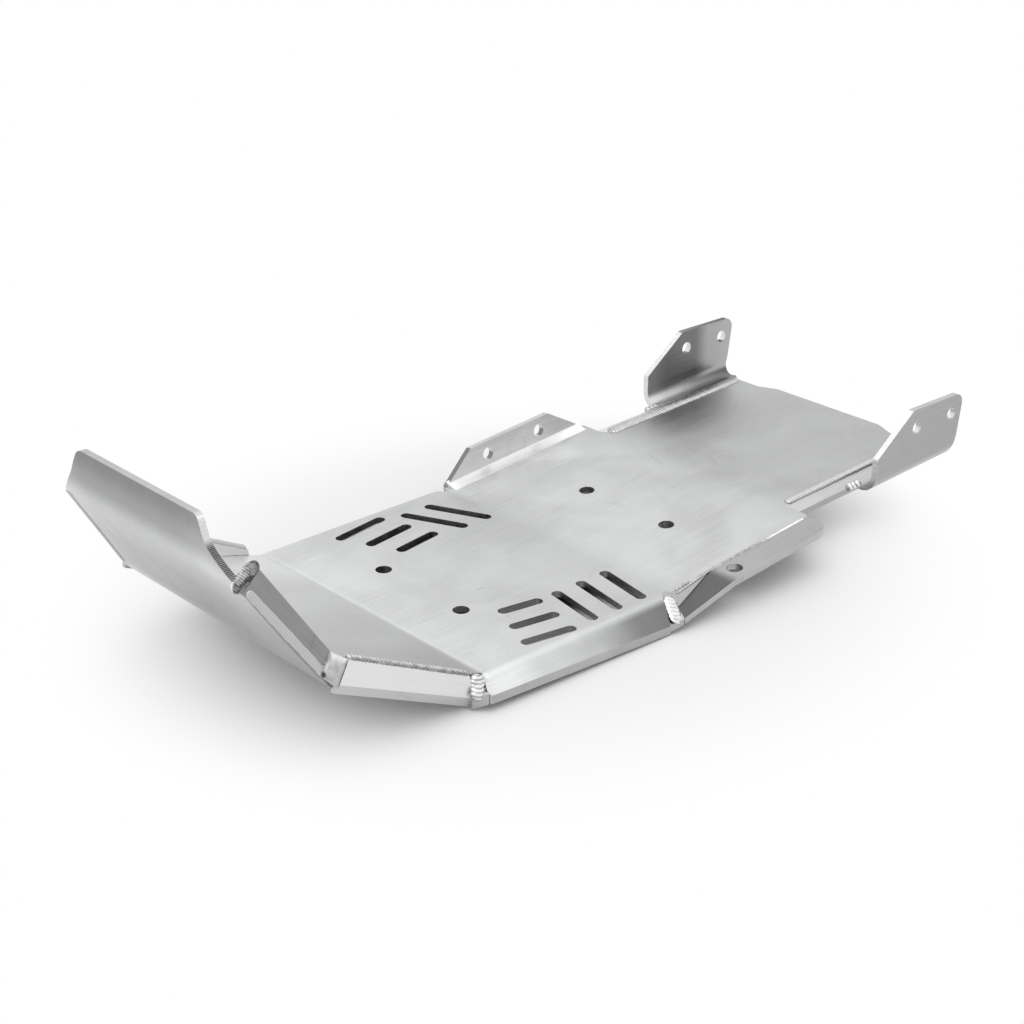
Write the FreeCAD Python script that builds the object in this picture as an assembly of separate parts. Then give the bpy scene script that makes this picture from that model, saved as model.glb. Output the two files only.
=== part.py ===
import FreeCAD, Part
import math
import os

# A welded aluminium skid plate for a motorcycle: one folded main sheet with slots, strips and
# cheeks closing its front sides, brackets and tabs with bolt holes, and the weld beads.
# X points forward to the nose, Y to the left side and Z up. The origin lies midway between the
# two front deck holes, on the deck's top face. Sizes are in millimetres and degrees.

# Main sheet, measured along its top face from the tail to the lip
sheet = 4.0
deck_front = 39.0
deck_rear = 103.0
step_length = 124.5
step_angle = 5.0
tail_length = 138.5
tail_angle = 2.3
ramp_length = 99.7
ramp_angle = 16.8
nose_length = 87.0
nose_angle = 57.6
lip_length = 19.9
lip_angle = 100.0
fold_radius = 9.0
nose_fold_radius = 8.0
soft_fold_radius = 60.0
lip_fold_radius = 48.0

# Widths of the main sheet, from the middle to one side
deck_half = 97.0
ramp_half_rear = 98.0
ramp_half_front = 95.0
step_half = 100.0
tail_half = 78.0
tail_edge_half = 45.0
tail_corner_half = 58.0
tail_corner_cut = 5.5
notch_radius = 6.0

# Front view of the nose: each height is above the deck's top face
nose_foot_half = 95.2
nose_foot_height = 25.4
left_shoulder_half = 77.0
right_shoulder_half = 83.0
shoulder_height = 89.0
shoulder_radius = 9.0
neck_half = 62.0
neck_height = 107.5
neck_radius = 25.0
lip_half = 55.0
lip_corner_radius = 6.0
lip_offset = -3.5

# Side skirts folded down along the deck
skirt_angle = 40.0
skirt_radius = 14.0
skirt_front = 46.0
skirt_front_width = 13.5
skirt_front_half = deck_half + skirt_front_width
skirt_front_slant = 6.0
skirt_rear = 100.0
skirt_rear_width = 18.2
skirt_rear_half = deck_half + skirt_rear_width
skirt_rear_slant = 11.0
skirt_corner_radius = 2.0

# Deck holes and slots
deck_hole_d = 10.0
deck_hole_spacing = 70.0
rear_deck_holes = 58.8
rear_deck_offset = 6.8
slot_width = 7.0
left_long_slots = 3
left_long_slot_x = -28.3
left_long_slot_y = 54.2
left_long_slot_length = 29.6
left_long_step_x = 6.1
left_long_step_y = 18.3
left_long_growth = 3.2
left_long_angle = -10.0
right_long_slots = 3
right_long_slot_x = -39.4
right_long_slot_y = -51.0
right_long_slot_length = 35.1
right_long_step_x = 7.1
right_long_step_y = -18.9
right_long_growth = 3.3
right_long_angle = 8.5
left_cross_slots = 3
left_cross_slot_x = -51.6
left_cross_slot_y = 74.6
left_cross_slot_length = 42.0
left_cross_angle = 80.6
right_cross_slots = 2
right_cross_slot_x = -66.8
right_cross_slot_y = -67.4
right_cross_slot_length = 45.6
right_cross_angle = -64.8
cross_slot_pitch = 19.5

# Strips beside the ramp
strip_gauge = 5.0
strip_rear = 53.0
strip_front = 134.5
strip_rear_top = 5.3
strip_rear_bottom = -16.2
strip_front_top = 43.0
strip_front_bottom = 25.4
strip_front_rake = 8.6
strip_rear_rake = 4.0
left_strip_lifts = (0.0, 0.0)
right_strip_lifts = (2.8, 5.0)
strip_bevel_height = 5.6
strip_bevel_depth = 2.6

# Cheeks behind the nose's side edges
cheek_gauge = 5.0
cheek_foot_gap = 9.0
cheek_rear_gap = 3.0
cheek_rear_low_x = 132.0
cheek_rear_low_half = 92.7
cheek_rear_low_z = 40.9
cheek_rear_top_x = 166.0
cheek_rear_top_z = 98.4
cheek_corner_radius = 3.0

# Left ledge bracket: a bent flat bar
ledge_gauge = 4.0
ledge_width = 19.0
ledge_bend_x = -138.0
ledge_rear_x = -226.0
ledge_end_radius = 12.0
ledge_drop_angle = 16.5
ledge_front_x = -98.5
ledge_front_half = 117.0
ledge_front_inner_x = -104.5
ledge_front_inner_half = 106.5
ledge_hole_d = 10.0
ledge_hole_x = -149.5
ledge_hole_inset = 9.0

# Right mid tab
tab_gauge = 4.0
tab_lean = 6.0
tab_foot_front = -105.7
tab_foot_rear = -224.5
tab_top_front = -127.5
tab_top_rear = -196.5
tab_height = 18.7
tab_foot_height = 0.5
tab_corner_radius = 3.0
tab_hole_d = 8.5
tab_hole_front = -142.0
tab_hole_spacing = 45.4
tab_hole_height = 10.0

# Rear brackets: L sections along the tail, placed from its rear edge and tied to its level
bracket_gauge = 4.0
bracket_inner_half = 98.5
bracket_foot_slope = 14.0
bracket_bend_radius = 8.0
bracket_strip_half = 89.0
bracket_upright_ahead = 76.1
bracket_upright_low = 13.9
bracket_top_front_ahead = 42.1
bracket_top_front_height = 38.4
bracket_top_rear_behind = 10.6
bracket_top_rear_height = 37.6
bracket_rear_behind = 6.5
bracket_top_radius = 7.0
bracket_foot_cut = 9.0
bracket_foot_run = 11.0
bracket_hole_d = 8.5
bracket_hole_ahead = 37.7
bracket_hole_spacing = 36.4
bracket_hole_height = 25.6

# Weld beads
strip_bead_width = 7.0
strip_bead_height = 2.2
seam_bead_width = 5.6
seam_bead_height = 0.5
cap_radius = 4.0
left_cap_inset = 2.5
right_cap_inset = 5.0
left_cap_start = 2.0
right_cap_start = 6.0
patch_foot_rise = 1.0
patch_strip_rise = 4.1
patch_out = 4.0
fold_weld_radius = 4.2
fold_weld_top_ahead = 8.0
fold_weld_top_out = 3.2
fold_weld_top_z = 0.5
fold_weld_low_ahead = 10.5
fold_weld_low_out = 7.0
fold_weld_low_z = -8.0
fold_weld_foot_ahead = 4.0
fold_weld_foot_height = 7.0
edge_bead_width = 3.0
edge_bead_height = 0.4
tab_fillet_width = 7.5
tab_fillet_height = 3.2
tab_fillet_hollow = 0.36
tail_bead_width = 9.5
tail_bead_height = 1.6
tail_bead_root = 1.0
tack_radius = 2.6
tack_length = 10.0
bead_end_gap = 4.0
bead_start_gap = 1.0

vec = FreeCAD.Vector


def heading(angle):
    """Unit vector in the side view, at an angle above the forward direction."""
    turn = math.radians(angle)
    return vec(math.cos(turn), 0, math.sin(turn))


def rounded_face(points, radii):
    """Flat face whose corners are rounded by the radii, 0 for a sharp corner."""
    count = len(points)
    starts = []
    ends = []
    middles = []
    for i in range(count):
        corner = points[i]
        if radii[i] <= 0:
            starts.append(corner)
            ends.append(corner)
            middles.append(None)
            continue
        back = (points[i - 1] - corner).normalize()
        ahead = (points[(i + 1) % count] - corner).normalize()
        half = back.getAngle(ahead) / 2
        inward = (back + ahead).normalize()
        centre = corner + inward * (radii[i] / math.sin(half))
        reach = radii[i] / math.tan(half)
        starts.append(corner + back * reach)
        ends.append(corner + ahead * reach)
        middles.append(centre - inward * radii[i])
    edges = []
    for i in range(count):
        if middles[i] is not None:
            edges.append(Part.Arc(starts[i], middles[i], ends[i]).toShape())
        following = starts[(i + 1) % count]
        if ends[i].distanceToPoint(following) > 1e-6:
            edges.append(Part.LineSegment(ends[i], following).toShape())
    return Part.Face(Part.Wire(edges))


def sharp_face(points):
    """Flat face with sharp corners."""
    return rounded_face(points, [0] * len(points))


def below(path, gauge, up):
    """The path's corners moved down through the sheet, where up(direction) is a run's normal."""
    normals = []
    for i in range(len(path) - 1):
        normals.append(up((path[i + 1] - path[i]).normalize()))
    moved = [path[0] - normals[0] * gauge]
    for i in range(1, len(path) - 1):
        both = normals[i - 1] + normals[i]
        moved.append(path[i] - both * (gauge / (1 + normals[i - 1].dot(normals[i]))))
    moved.append(path[-1] - normals[-1] * gauge)
    return moved


def sheet_section(path, radii, gauge, up):
    """Section of a bent sheet whose top face follows the path, with one inner radius a bend."""
    bottom = below(path, gauge, up)
    top_radii = [0]
    bottom_radii = [0]
    for i in range(1, len(path) - 1):
        first = (path[i] - path[i - 1]).normalize()
        second = (path[i + 1] - path[i]).normalize()
        upward = up(first).dot(second) > 0
        top_radii.append(radii[i - 1] if upward else radii[i - 1] + gauge)
        bottom_radii.append(radii[i - 1] + gauge if upward else radii[i - 1])
    top_radii.append(0)
    bottom_radii.append(0)
    return rounded_face(path + bottom[::-1], top_radii + bottom_radii[::-1])


def up_from_x(run):
    """Upward normal of a run in the XZ plane that heads forward."""
    return vec(-run.z, 0, run.x)


def up_from_y(run):
    """Upward normal of a run in the YZ plane that heads left."""
    return vec(0, -run.z, run.y)


def mirrored(shape):
    """The same piece on the right side."""
    return shape.mirror(vec(0, 0, 0), vec(0, 1, 0))


def drill(shape, centre, axis, diameter, depth):
    """The shape with a round hole through it, centred on a point."""
    axis = vec(axis).normalize()
    tool = Part.makeCylinder(diameter / 2, depth, centre - axis * (depth / 2), axis)
    return shape.cut(tool)


def bead(start, end, up, width, height):
    """Weld bead with a flat foot from start to end and a round back towards up."""
    along = end - start
    side = along.cross(up).normalize()
    crown = start + vec(up).normalize() * height
    left = start + side * (width / 2)
    right = start - side * (width / 2)
    back = Part.Arc(left, crown, right).toShape()
    foot = Part.LineSegment(right, left).toShape()
    return Part.Face(Part.Wire([back, foot])).extrude(along)


def rod(start, end, radius):
    """Round bead from start to end, with ball ends."""
    along = end - start
    body = Part.makeCylinder(radius, along.Length, start, along)
    return body.fuse([Part.makeSphere(radius, start), Part.makeSphere(radius, end)]).removeSplitter()


def clear_of(shape, neighbours):
    """The shape with its neighbours cut away, keeping its largest solid."""
    rest = shape
    for neighbour in neighbours:
        rest = rest.cut(neighbour)
    return max(rest.Solids, key=lambda solid: solid.Volume)


# Corners of the main sheet's top face in the side view
front_fold = vec(deck_front, 0, 0)
rear_fold = vec(-deck_rear, 0, 0)
step_run = heading(180 - step_angle)
tail_run = heading(180 - tail_angle)
step_end = rear_fold + step_run * step_length
tail_end = step_end + tail_run * tail_length
ramp_end = front_fold + heading(ramp_angle) * ramp_length
shoulder = ramp_end + heading(nose_angle) * nose_length
lip_end = shoulder + heading(lip_angle) * lip_length
cutter_reach = 400.0


def step_point(x, y):
    """Point on the step's top face."""
    return vec(x, y, -(x + deck_rear) * math.tan(math.radians(step_angle)))


def tail_point(distance, y):
    """Point on the tail's top face, at a distance behind the step."""
    spot = step_end + tail_run * distance
    return vec(spot.x, y, spot.z)


def skirt():
    """Left skirt: folded down along the deck, its edges cut upright."""
    turn = math.radians(skirt_angle)
    corner = deck_half + skirt_radius * math.tan(turn / 2)
    run = skirt_rear_half + 2 * sheet - corner
    path = [
        vec(-skirt_rear, deck_half - sheet, 0),
        vec(-skirt_rear, corner, 0),
        vec(-skirt_rear, corner + run, -run * math.tan(turn)),
    ]
    section = sheet_section(path, [skirt_radius - sheet], sheet, up_from_y)
    body = section.extrude(vec(skirt_rear + skirt_front, 0, 0))
    plan = [
        vec(-skirt_rear, 0, -cutter_reach),
        vec(-skirt_rear, deck_half, -cutter_reach),
        vec(skirt_rear_slant - skirt_rear, skirt_rear_half, -cutter_reach),
        vec(skirt_front, skirt_front_half, -cutter_reach),
        vec(skirt_front - skirt_front_slant, deck_half, -cutter_reach),
        vec(skirt_front - skirt_front_slant, 0, -cutter_reach),
    ]
    radii = [0, 0, 0, skirt_corner_radius, 0, 0]
    return body.common(rounded_face(plan, radii).extrude(vec(0, 0, 2 * cutter_reach)))


def plan_outline():
    """Half outline of the main sheet seen from above, from the nose back to the tail."""
    ramp_front_x = ramp_end.x
    tail_x = tail_end.x
    notch_x = step_end.x
    corners = [
        (cutter_reach, 0, 0),
        (cutter_reach, nose_foot_half, 0),
        (ramp_front_x, ramp_half_front, 0),
        (deck_front, ramp_half_rear, 0),
        (deck_front, deck_half, 0),
        (-deck_rear, deck_half, 0),
        (-deck_rear, step_half, 0),
        (notch_x, step_half, notch_radius / 2),
        (notch_x, tail_half, notch_radius),
        (tail_x + tail_corner_cut, tail_half, 0),
        (tail_x + tail_corner_cut, tail_corner_half, notch_radius / 2),
        (tail_x, tail_edge_half, notch_radius),
        (tail_x, 0, 0),
    ]
    points = [vec(x, y, -cutter_reach) for x, y, radius in corners]
    return rounded_face(points, [radius for x, y, radius in corners])


def nose_outline():
    """Outline of the nose and lip seen from the front, down to the ramp's foot."""
    corners = [
        (cutter_reach, -cutter_reach, 0),
        (cutter_reach, nose_foot_height, 0),
        (nose_foot_half, nose_foot_height, 0),
        (left_shoulder_half, shoulder_height, shoulder_radius),
        (neck_half + lip_offset, neck_height, neck_radius),
        (lip_half + lip_offset, lip_end.z, lip_corner_radius),
        (-lip_half + lip_offset, lip_end.z, lip_corner_radius),
        (-neck_half + lip_offset, neck_height, neck_radius),
        (-right_shoulder_half, shoulder_height, shoulder_radius),
        (-nose_foot_half, nose_foot_height, 0),
        (-cutter_reach, nose_foot_height, 0),
        (-cutter_reach, -cutter_reach, 0),
    ]
    points = [vec(-cutter_reach, y, z) for y, z, radius in corners]
    return rounded_face(points, [radius for y, z, radius in corners])


def slot_tool(x, y, length, angle):
    """Upright cutter for one round-ended slot, tip to tip length."""
    run = heading(0)
    half = (length - slot_width) / 2
    body = Part.makeBox(2 * half, slot_width, 4 * sheet, vec(-half, -slot_width / 2, -2 * sheet))
    ends = []
    for side in (-1, 1):
        ends.append(Part.makeCylinder(slot_width / 2, 4 * sheet, run * (side * half) - vec(0, 0, 2 * sheet)))
    tool = body.fuse(ends).removeSplitter()
    tool.rotate(vec(0, 0, 0), vec(0, 0, 1), angle)
    tool.translate(vec(x, y, 0))
    return tool


def slot_tools():
    """All the deck's slots: lengthwise ones in front and cross ones behind, on both sides."""
    tools = []
    for i in range(left_long_slots):
        x = left_long_slot_x + i * left_long_step_x
        y = left_long_slot_y + i * left_long_step_y
        length = left_long_slot_length + i * left_long_growth
        tools.append(slot_tool(x, y, length, left_long_angle))
    for i in range(right_long_slots):
        x = right_long_slot_x + i * right_long_step_x
        y = right_long_slot_y + i * right_long_step_y
        length = right_long_slot_length + i * right_long_growth
        tools.append(slot_tool(x, y, length, right_long_angle))
    for i in range(left_cross_slots):
        x = left_cross_slot_x - i * cross_slot_pitch
        tools.append(slot_tool(x, left_cross_slot_y, left_cross_slot_length, left_cross_angle))
    for i in range(right_cross_slots):
        x = right_cross_slot_x - i * cross_slot_pitch
        tools.append(slot_tool(x, right_cross_slot_y, right_cross_slot_length, right_cross_angle))
    return tools


def main_plate():
    """Folded main sheet: tail, step, deck with skirts, ramp, nose and lip."""
    path = [tail_end, step_end, rear_fold, front_fold, ramp_end, shoulder, lip_end]
    radii = [soft_fold_radius, soft_fold_radius, fold_radius, nose_fold_radius, lip_fold_radius]
    section = sheet_section(path, radii, sheet, up_from_x)
    half = section.extrude(vec(0, max(step_half, deck_half, ramp_half_rear), 0))
    half = half.common(plan_outline().extrude(vec(0, 0, 2 * cutter_reach)))
    half = half.fuse(skirt())
    plate = half.fuse(mirrored(half)).removeSplitter()
    plate = plate.common(nose_outline().extrude(vec(2 * cutter_reach, 0, 0)))
    plate = plate.cut(slot_tools())
    step_up = up_from_x(step_run * -1)
    for side in (-1, 1):
        y = side * deck_hole_spacing / 2
        plate = drill(plate, vec(0, y, 0), vec(0, 0, 1), deck_hole_d, 4 * sheet)
        spot = rear_fold + step_run * rear_deck_holes
        rear_hole = vec(spot.x, y + rear_deck_offset, spot.z)
        plate = drill(plate, rear_hole, step_up, deck_hole_d, 4 * sheet)
    return plate


def strip_side(x, z):
    """Point on the left strip's outer face, which follows the ramp's edge in plan."""
    share = (x - strip_rear) / (strip_front - strip_rear)
    return vec(x, ramp_half_rear + (ramp_half_front - ramp_half_rear) * share + strip_gauge, z)


def strip_frame(rear_lift, front_lift):
    """Outer corners of the left strip: rear bottom, front bottom, front top, rear top."""
    return [
        strip_side(strip_rear - strip_rear_rake, strip_rear_bottom),
        strip_side(strip_front + strip_front_rake / 2, strip_front_bottom),
        strip_side(strip_front - strip_front_rake / 2, strip_front_top + front_lift),
        strip_side(strip_rear, strip_rear_top + rear_lift),
    ]


def ramp_strip(plate, corners):
    """Left strip along the ramp's edge, its lower outer edge ground to a bevel."""
    across = (corners[1] - corners[0]).cross(corners[3] - corners[0]).normalize()
    inward = across if across.y < 0 else across * -1
    body = sharp_face(corners).extrude(inward * strip_gauge)
    run = corners[1] - corners[0]
    up = run.cross(inward).normalize()
    up = up if up.z > 0 else up * -1
    # the cutter starts one strip length behind the strip and ends one beyond it
    low = corners[0] - run
    outside = low - inward * strip_gauge
    bevel = sharp_face([
        outside - up * strip_bevel_height,
        low + inward * strip_bevel_depth,
        low + up * strip_bevel_height,
        outside + up * strip_bevel_height,
    ]).extrude(run * 3)
    return clear_of(body.cut(bevel), [plate])


def cheek_frame(shoulder_half):
    """Outer corners of a left cheek: low front, top front, top rear, low rear."""
    foot = below([front_fold, ramp_end, shoulder], sheet, up_from_x)[1]
    low_front = vec(foot.x, nose_foot_half, nose_foot_height)
    rise = (shoulder_height - foot.z) / math.tan(math.radians(nose_angle))
    top_front = vec(foot.x + rise, shoulder_half, shoulder_height)
    seam = (top_front - low_front).normalize()
    low_rear = vec(cheek_rear_low_x, cheek_rear_low_half, cheek_rear_low_z)
    across = seam.cross(low_rear - low_front).normalize()
    # the top rear corner is dropped along Y onto the plane of the other three
    level = vec(cheek_rear_top_x, 0, cheek_rear_top_z)
    y = across.dot(low_front - level) / across.y
    top_rear = vec(cheek_rear_top_x, y, cheek_rear_top_z)
    return [low_front + seam * cheek_foot_gap, top_front, top_rear, low_rear + seam * cheek_rear_gap]


def cheek_inward(corners):
    """Unit normal of a left cheek, towards the middle."""
    across = (corners[1] - corners[0]).cross(corners[3] - corners[0]).normalize()
    return across if across.y < 0 else across * -1


def cheek(plate, corners):
    """Left cheek: a flat plate standing behind the nose's side edge."""
    radii = [0, 0, cheek_corner_radius, 0]
    body = rounded_face(corners, radii).extrude(cheek_inward(corners) * cheek_gauge)
    return clear_of(body, [plate])


def ledge_bracket(plate):
    """Left ledge: a flat bar beside the step, bent down to the skirt's rear end."""
    bend = step_point(ledge_bend_x, step_half)
    rear = step_point(ledge_rear_x, step_half)
    drop = ledge_front_x - ledge_bend_x
    front = bend + vec(drop, 0, -drop * math.tan(math.radians(ledge_drop_angle)))
    section = sheet_section([rear, bend, front], [fold_radius], ledge_gauge, up_from_x)
    body = section.extrude(vec(0, ledge_width, 0))
    plan = rounded_face([
        vec(ledge_rear_x, step_half, -cutter_reach),
        vec(ledge_rear_x, step_half + ledge_width, -cutter_reach),
        vec(ledge_bend_x, step_half + ledge_width, -cutter_reach),
        vec(ledge_front_x, ledge_front_half, -cutter_reach),
        vec(ledge_front_inner_x, ledge_front_inner_half, -cutter_reach),
        vec(ledge_bend_x, step_half, -cutter_reach),
    ], [0, ledge_end_radius, 0, 0, 0, 0])
    body = body.common(plan.extrude(vec(0, 0, 2 * cutter_reach)))
    hole = step_point(ledge_hole_x, step_half + ledge_hole_inset)
    body = drill(body, hole, up_from_x(step_run * -1), ledge_hole_d, 6 * ledge_gauge)
    return clear_of(body, [plate])


def mid_tab(plate):
    """Right tab: an upright plate on the step's edge, with two holes."""
    foot = vec(0, 0, tab_foot_height)
    top = vec(0, 0, tab_height)
    down = vec(0, 0, -sheet)
    y = -step_half
    corners = [
        step_point(tab_foot_front, y) + down,
        step_point(tab_foot_front, y) + foot,
        step_point(tab_top_front, y) + top,
        step_point(tab_top_rear, y) + top,
        step_point(tab_foot_rear, y) + foot,
        step_point(tab_foot_rear, y) + down,
    ]
    radii = [0, 0, tab_corner_radius, tab_corner_radius, 0, 0]
    body = rounded_face(corners, radii).extrude(vec(0, -tab_gauge, 0))
    for i in range(2):
        x = tab_hole_front - i * tab_hole_spacing * math.cos(math.radians(step_angle))
        centre = step_point(x, y) + vec(0, 0, tab_hole_height)
        body = drill(body, centre, vec(0, 1, 0), tab_hole_d, 6 * tab_gauge)
    body.rotate(step_point(tab_foot_front, y), step_run, -tab_lean)
    return clear_of(body, [plate])


def tail_place(ahead, height):
    """Point in the side view, from the tail's rear edge forward and up."""
    return vec(tail_end.x + ahead, 0, tail_end.z + height)


def foot_drop(y):
    """How far the left bracket's foot lies below the tail at a distance from the middle."""
    return (y - tail_half) * math.tan(math.radians(bracket_foot_slope))


def rear_bracket(plate):
    """Left rear bracket: a foot beside the tail that bends up into a tab with two holes."""
    corner = vec(0, bracket_inner_half, -foot_drop(bracket_inner_half))
    path = [vec(0, tail_half, 0), corner, corner + vec(0, 0, tail_length)]
    section = sheet_section(path, [bracket_bend_radius], bracket_gauge, up_from_y)
    body = section.extrude(vec(-tail_length - bracket_top_rear_behind - bracket_gauge, 0, 0))
    body.rotate(vec(0, 0, 0), vec(0, 1, 0), tail_angle)
    body.translate(vec(step_end.x, 0, step_end.z))
    floor = -foot_drop(bracket_inner_half) - 4 * bracket_gauge
    side_view = rounded_face([
        tail_place(step_end.x - tail_end.x, floor),
        tail_place(step_end.x - tail_end.x, bracket_upright_low - bracket_gauge),
        tail_place(bracket_upright_ahead, bracket_upright_low - bracket_gauge),
        tail_place(bracket_upright_ahead, bracket_upright_low),
        tail_place(bracket_top_front_ahead, bracket_top_front_height),
        tail_place(-bracket_top_rear_behind, bracket_top_rear_height),
        tail_place(-bracket_rear_behind, bracket_foot_cut),
        tail_place(bracket_foot_cut - bracket_rear_behind, floor),
    ], [0, 0, 0, bracket_gauge / 2, bracket_gauge, bracket_top_radius, bracket_foot_cut, 0])
    body = body.common(side_view.extrude(vec(0, cutter_reach, 0)))
    upright_x = tail_end.x + bracket_upright_ahead
    trim_corner = vec(upright_x, bracket_strip_half, -cutter_reach / 2)
    trim = Part.makeBox(cutter_reach, cutter_reach, cutter_reach, trim_corner)
    foot_end_x = tail_end.x + tail_corner_cut
    foot_end = sharp_face([
        vec(foot_end_x, 0, -cutter_reach),
        vec(foot_end_x, tail_half, -cutter_reach),
        vec(foot_end_x - bracket_foot_run, bracket_strip_half, -cutter_reach),
        vec(-2 * cutter_reach, bracket_strip_half, -cutter_reach),
        vec(-2 * cutter_reach, 0, -cutter_reach),
    ]).extrude(vec(0, 0, 2 * cutter_reach))
    body = body.cut([trim, foot_end])
    for i in range(2):
        spot = tail_place(bracket_hole_ahead - i * bracket_hole_spacing, bracket_hole_height)
        centre = vec(spot.x, bracket_inner_half, spot.z)
        body = drill(body, centre, vec(0, 1, 0), bracket_hole_d, 6 * bracket_gauge)
    return clear_of(body, [plate])


def strip_bead(corners, neighbours):
    """Ripple bead along the left strip's top edge."""
    inward = vec(0, -strip_gauge / 2, 0)
    run = (corners[2] - corners[3]).normalize()
    start = corners[3] + inward + run * bead_start_gap
    end = corners[2] + inward
    up = vec(0, 1, 0).cross(run)
    up = up if up.z > 0 else up * -1
    return clear_of(bead(start, end, up, strip_bead_width, strip_bead_height), neighbours)


def seam_bead(corners, neighbours):
    """Bead over the joint between the left cheek and the nose's side edge."""
    outward = cheek_inward(corners) * -1
    seam = (corners[1] - corners[0]).normalize()
    behind = seam.cross(outward).normalize()
    behind = behind if behind.x < 0 else behind * -1
    middle = behind * (seam_bead_width / 2)
    start = corners[0] - seam * (cheek_foot_gap / 2) + middle
    end = corners[1] - seam * shoulder_radius / 2 + middle
    return clear_of(bead(start, end, outward, seam_bead_width, seam_bead_height), neighbours)


def cheek_cap(corners, inset, gap, neighbours):
    """Round weld over the left cheek's top end, set in from its outer face and its front."""
    inward = cheek_inward(corners) * inset
    start = corners[1] + inward
    end = corners[2] + inward
    run = (end - start).normalize()
    body = rod(start + run * gap, end - run * (cap_radius / 3), cap_radius)
    return clear_of(body, neighbours)


def corner_patch(cheek_corners, strip_corners, neighbours):
    """Built-up weld that closes the left corner between the cheek and the strip."""
    y = strip_corners[2].y - strip_gauge
    outline = [
        vec(cheek_corners[0].x, y, cheek_corners[0].z),
        vec(cheek_corners[0].x - cheek_foot_gap / 2, y, nose_foot_height + patch_foot_rise),
        vec(strip_corners[1].x, y, strip_corners[1].z + patch_strip_rise),
        vec(strip_corners[2].x, y, strip_corners[2].z),
        vec(cheek_corners[3].x, y, cheek_corners[3].z),
    ]
    body = sharp_face(outline).extrude(vec(0, patch_out + cheek_gauge, 0))
    body.translate(vec(0, -cheek_gauge, 0))
    return clear_of(body, neighbours)


def skirt_point(x, y):
    """Point on the left skirt's top face, where it is flat."""
    turn = math.radians(skirt_angle)
    fold_y = deck_half + skirt_radius * math.tan(turn / 2)
    return vec(x, y, (fold_y - y) * math.tan(turn))


def fold_weld(strip_corners, neighbours):
    """Upright weld in the left corner where the ramp, the strip and the skirt meet.

    A round bead stands on a low foot that joins the lower edges of the strip and the skirt."""
    top = vec(
        deck_front + fold_weld_top_ahead, ramp_half_rear + fold_weld_top_out, fold_weld_top_z)
    bottom = vec(
        deck_front + fold_weld_low_ahead, ramp_half_rear + fold_weld_low_out, fold_weld_low_z)
    drop = vec(0, 0, -sheet / math.cos(math.radians(skirt_angle)))
    low = strip_corners[0] + vec(strip_rear_rake / 2, 0, 0)
    edge = skirt_point(skirt_front, skirt_front_half) + drop
    inside = vec(deck_front + fold_weld_foot_ahead, ramp_half_rear, edge.z)
    under = low - vec(0, strip_gauge, 0)
    pieces = [rod(top, bottom, fold_weld_radius)]
    for corners in ([low, edge, inside], [low, inside, under]):
        pieces.append(sharp_face(corners).extrude(vec(0, 0, fold_weld_foot_height)))
    return clear_of(pieces[0].fuse(pieces[1:]).removeSplitter(), neighbours)


def ledge_point(x, y):
    """Point on the top face of the left ledge's drop."""
    bend = step_point(ledge_bend_x, step_half)
    return vec(x, y, bend.z - (x - ledge_bend_x) * math.tan(math.radians(ledge_drop_angle)))


def ledge_weld(plate, ledge):
    """Weld that closes the gap between the left skirt's rear end, the step and the ledge."""
    step_corner = vec(-deck_rear, step_half, 0)
    fold_y = deck_half + skirt_radius * math.tan(math.radians(skirt_angle) / 2)
    share = (fold_y - deck_half) / (skirt_rear_half - deck_half)
    knee = vec(share * skirt_rear_slant - skirt_rear, fold_y, 0)
    low = skirt_point(skirt_rear_slant - skirt_rear, skirt_rear_half)
    bend = ledge_point(ledge_bend_x, step_half)
    inner = ledge_point(ledge_front_inner_x, ledge_front_inner_half)
    outer = ledge_point(ledge_front_x, ledge_front_half)
    faces = [
        [bend, step_corner, inner],
        [step_corner, vec(-deck_rear, deck_half, 0), vec(-skirt_rear, deck_half, 0), knee],
        [step_corner, knee, inner],
        [knee, low, inner],
        [low, outer, inner],
    ]
    blocks = [sharp_face(corners).extrude(vec(0, 0, -sheet)) for corners in faces]
    return clear_of(blocks[0].fuse(blocks[1:]).removeSplitter(), [plate, ledge])


def ledge_edge_bead(plate, ledge, foot_weld):
    """Low bead along the joint between the step and the ledge bracket."""
    start = step_point(-deck_rear - 6, step_half)
    end = step_point(ledge_rear_x + bead_end_gap, step_half)
    body = bead(start, end, up_from_x(step_run * -1), edge_bead_width, edge_bead_height)
    return clear_of(body, [plate, ledge, foot_weld])


def tab_fillet(plate, tab):
    """Fillet weld along the inner foot of the right tab, slightly hollow."""
    y = -step_half
    start = step_point(tab_foot_front - 1, y)
    up = up_from_x(step_run * -1)
    run = step_point(tab_foot_rear + 1, y) - start
    high = start + up * tab_fillet_height - vec(0, sheet / 2, 0)
    wide = start + vec(0, tab_fillet_width, 0)
    low = start - vec(0, sheet / 2, 0)
    dip = up * tab_fillet_height + vec(0, tab_fillet_width, 0)
    hollow = start + dip * tab_fillet_hollow
    back = Part.Arc(high, hollow, wide).toShape()
    foot = Part.makePolygon([wide, low, high])
    body = Part.Face(Part.Wire([back] + foot.Edges)).extrude(run)
    return clear_of(body, [plate, tab])


def tail_bead(plate, bracket):
    """Ripple bead along the joint between the tail and the left rear bracket."""
    up = up_from_x(tail_run * -1)
    root = up * -tail_bead_root
    start = tail_point(bead_end_gap, tail_half) + root
    end = tail_point(tail_length - tail_corner_cut, tail_half) + root
    height = tail_bead_height + tail_bead_root
    return clear_of(bead(start, end, up, tail_bead_width, height), [plate, bracket])


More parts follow.
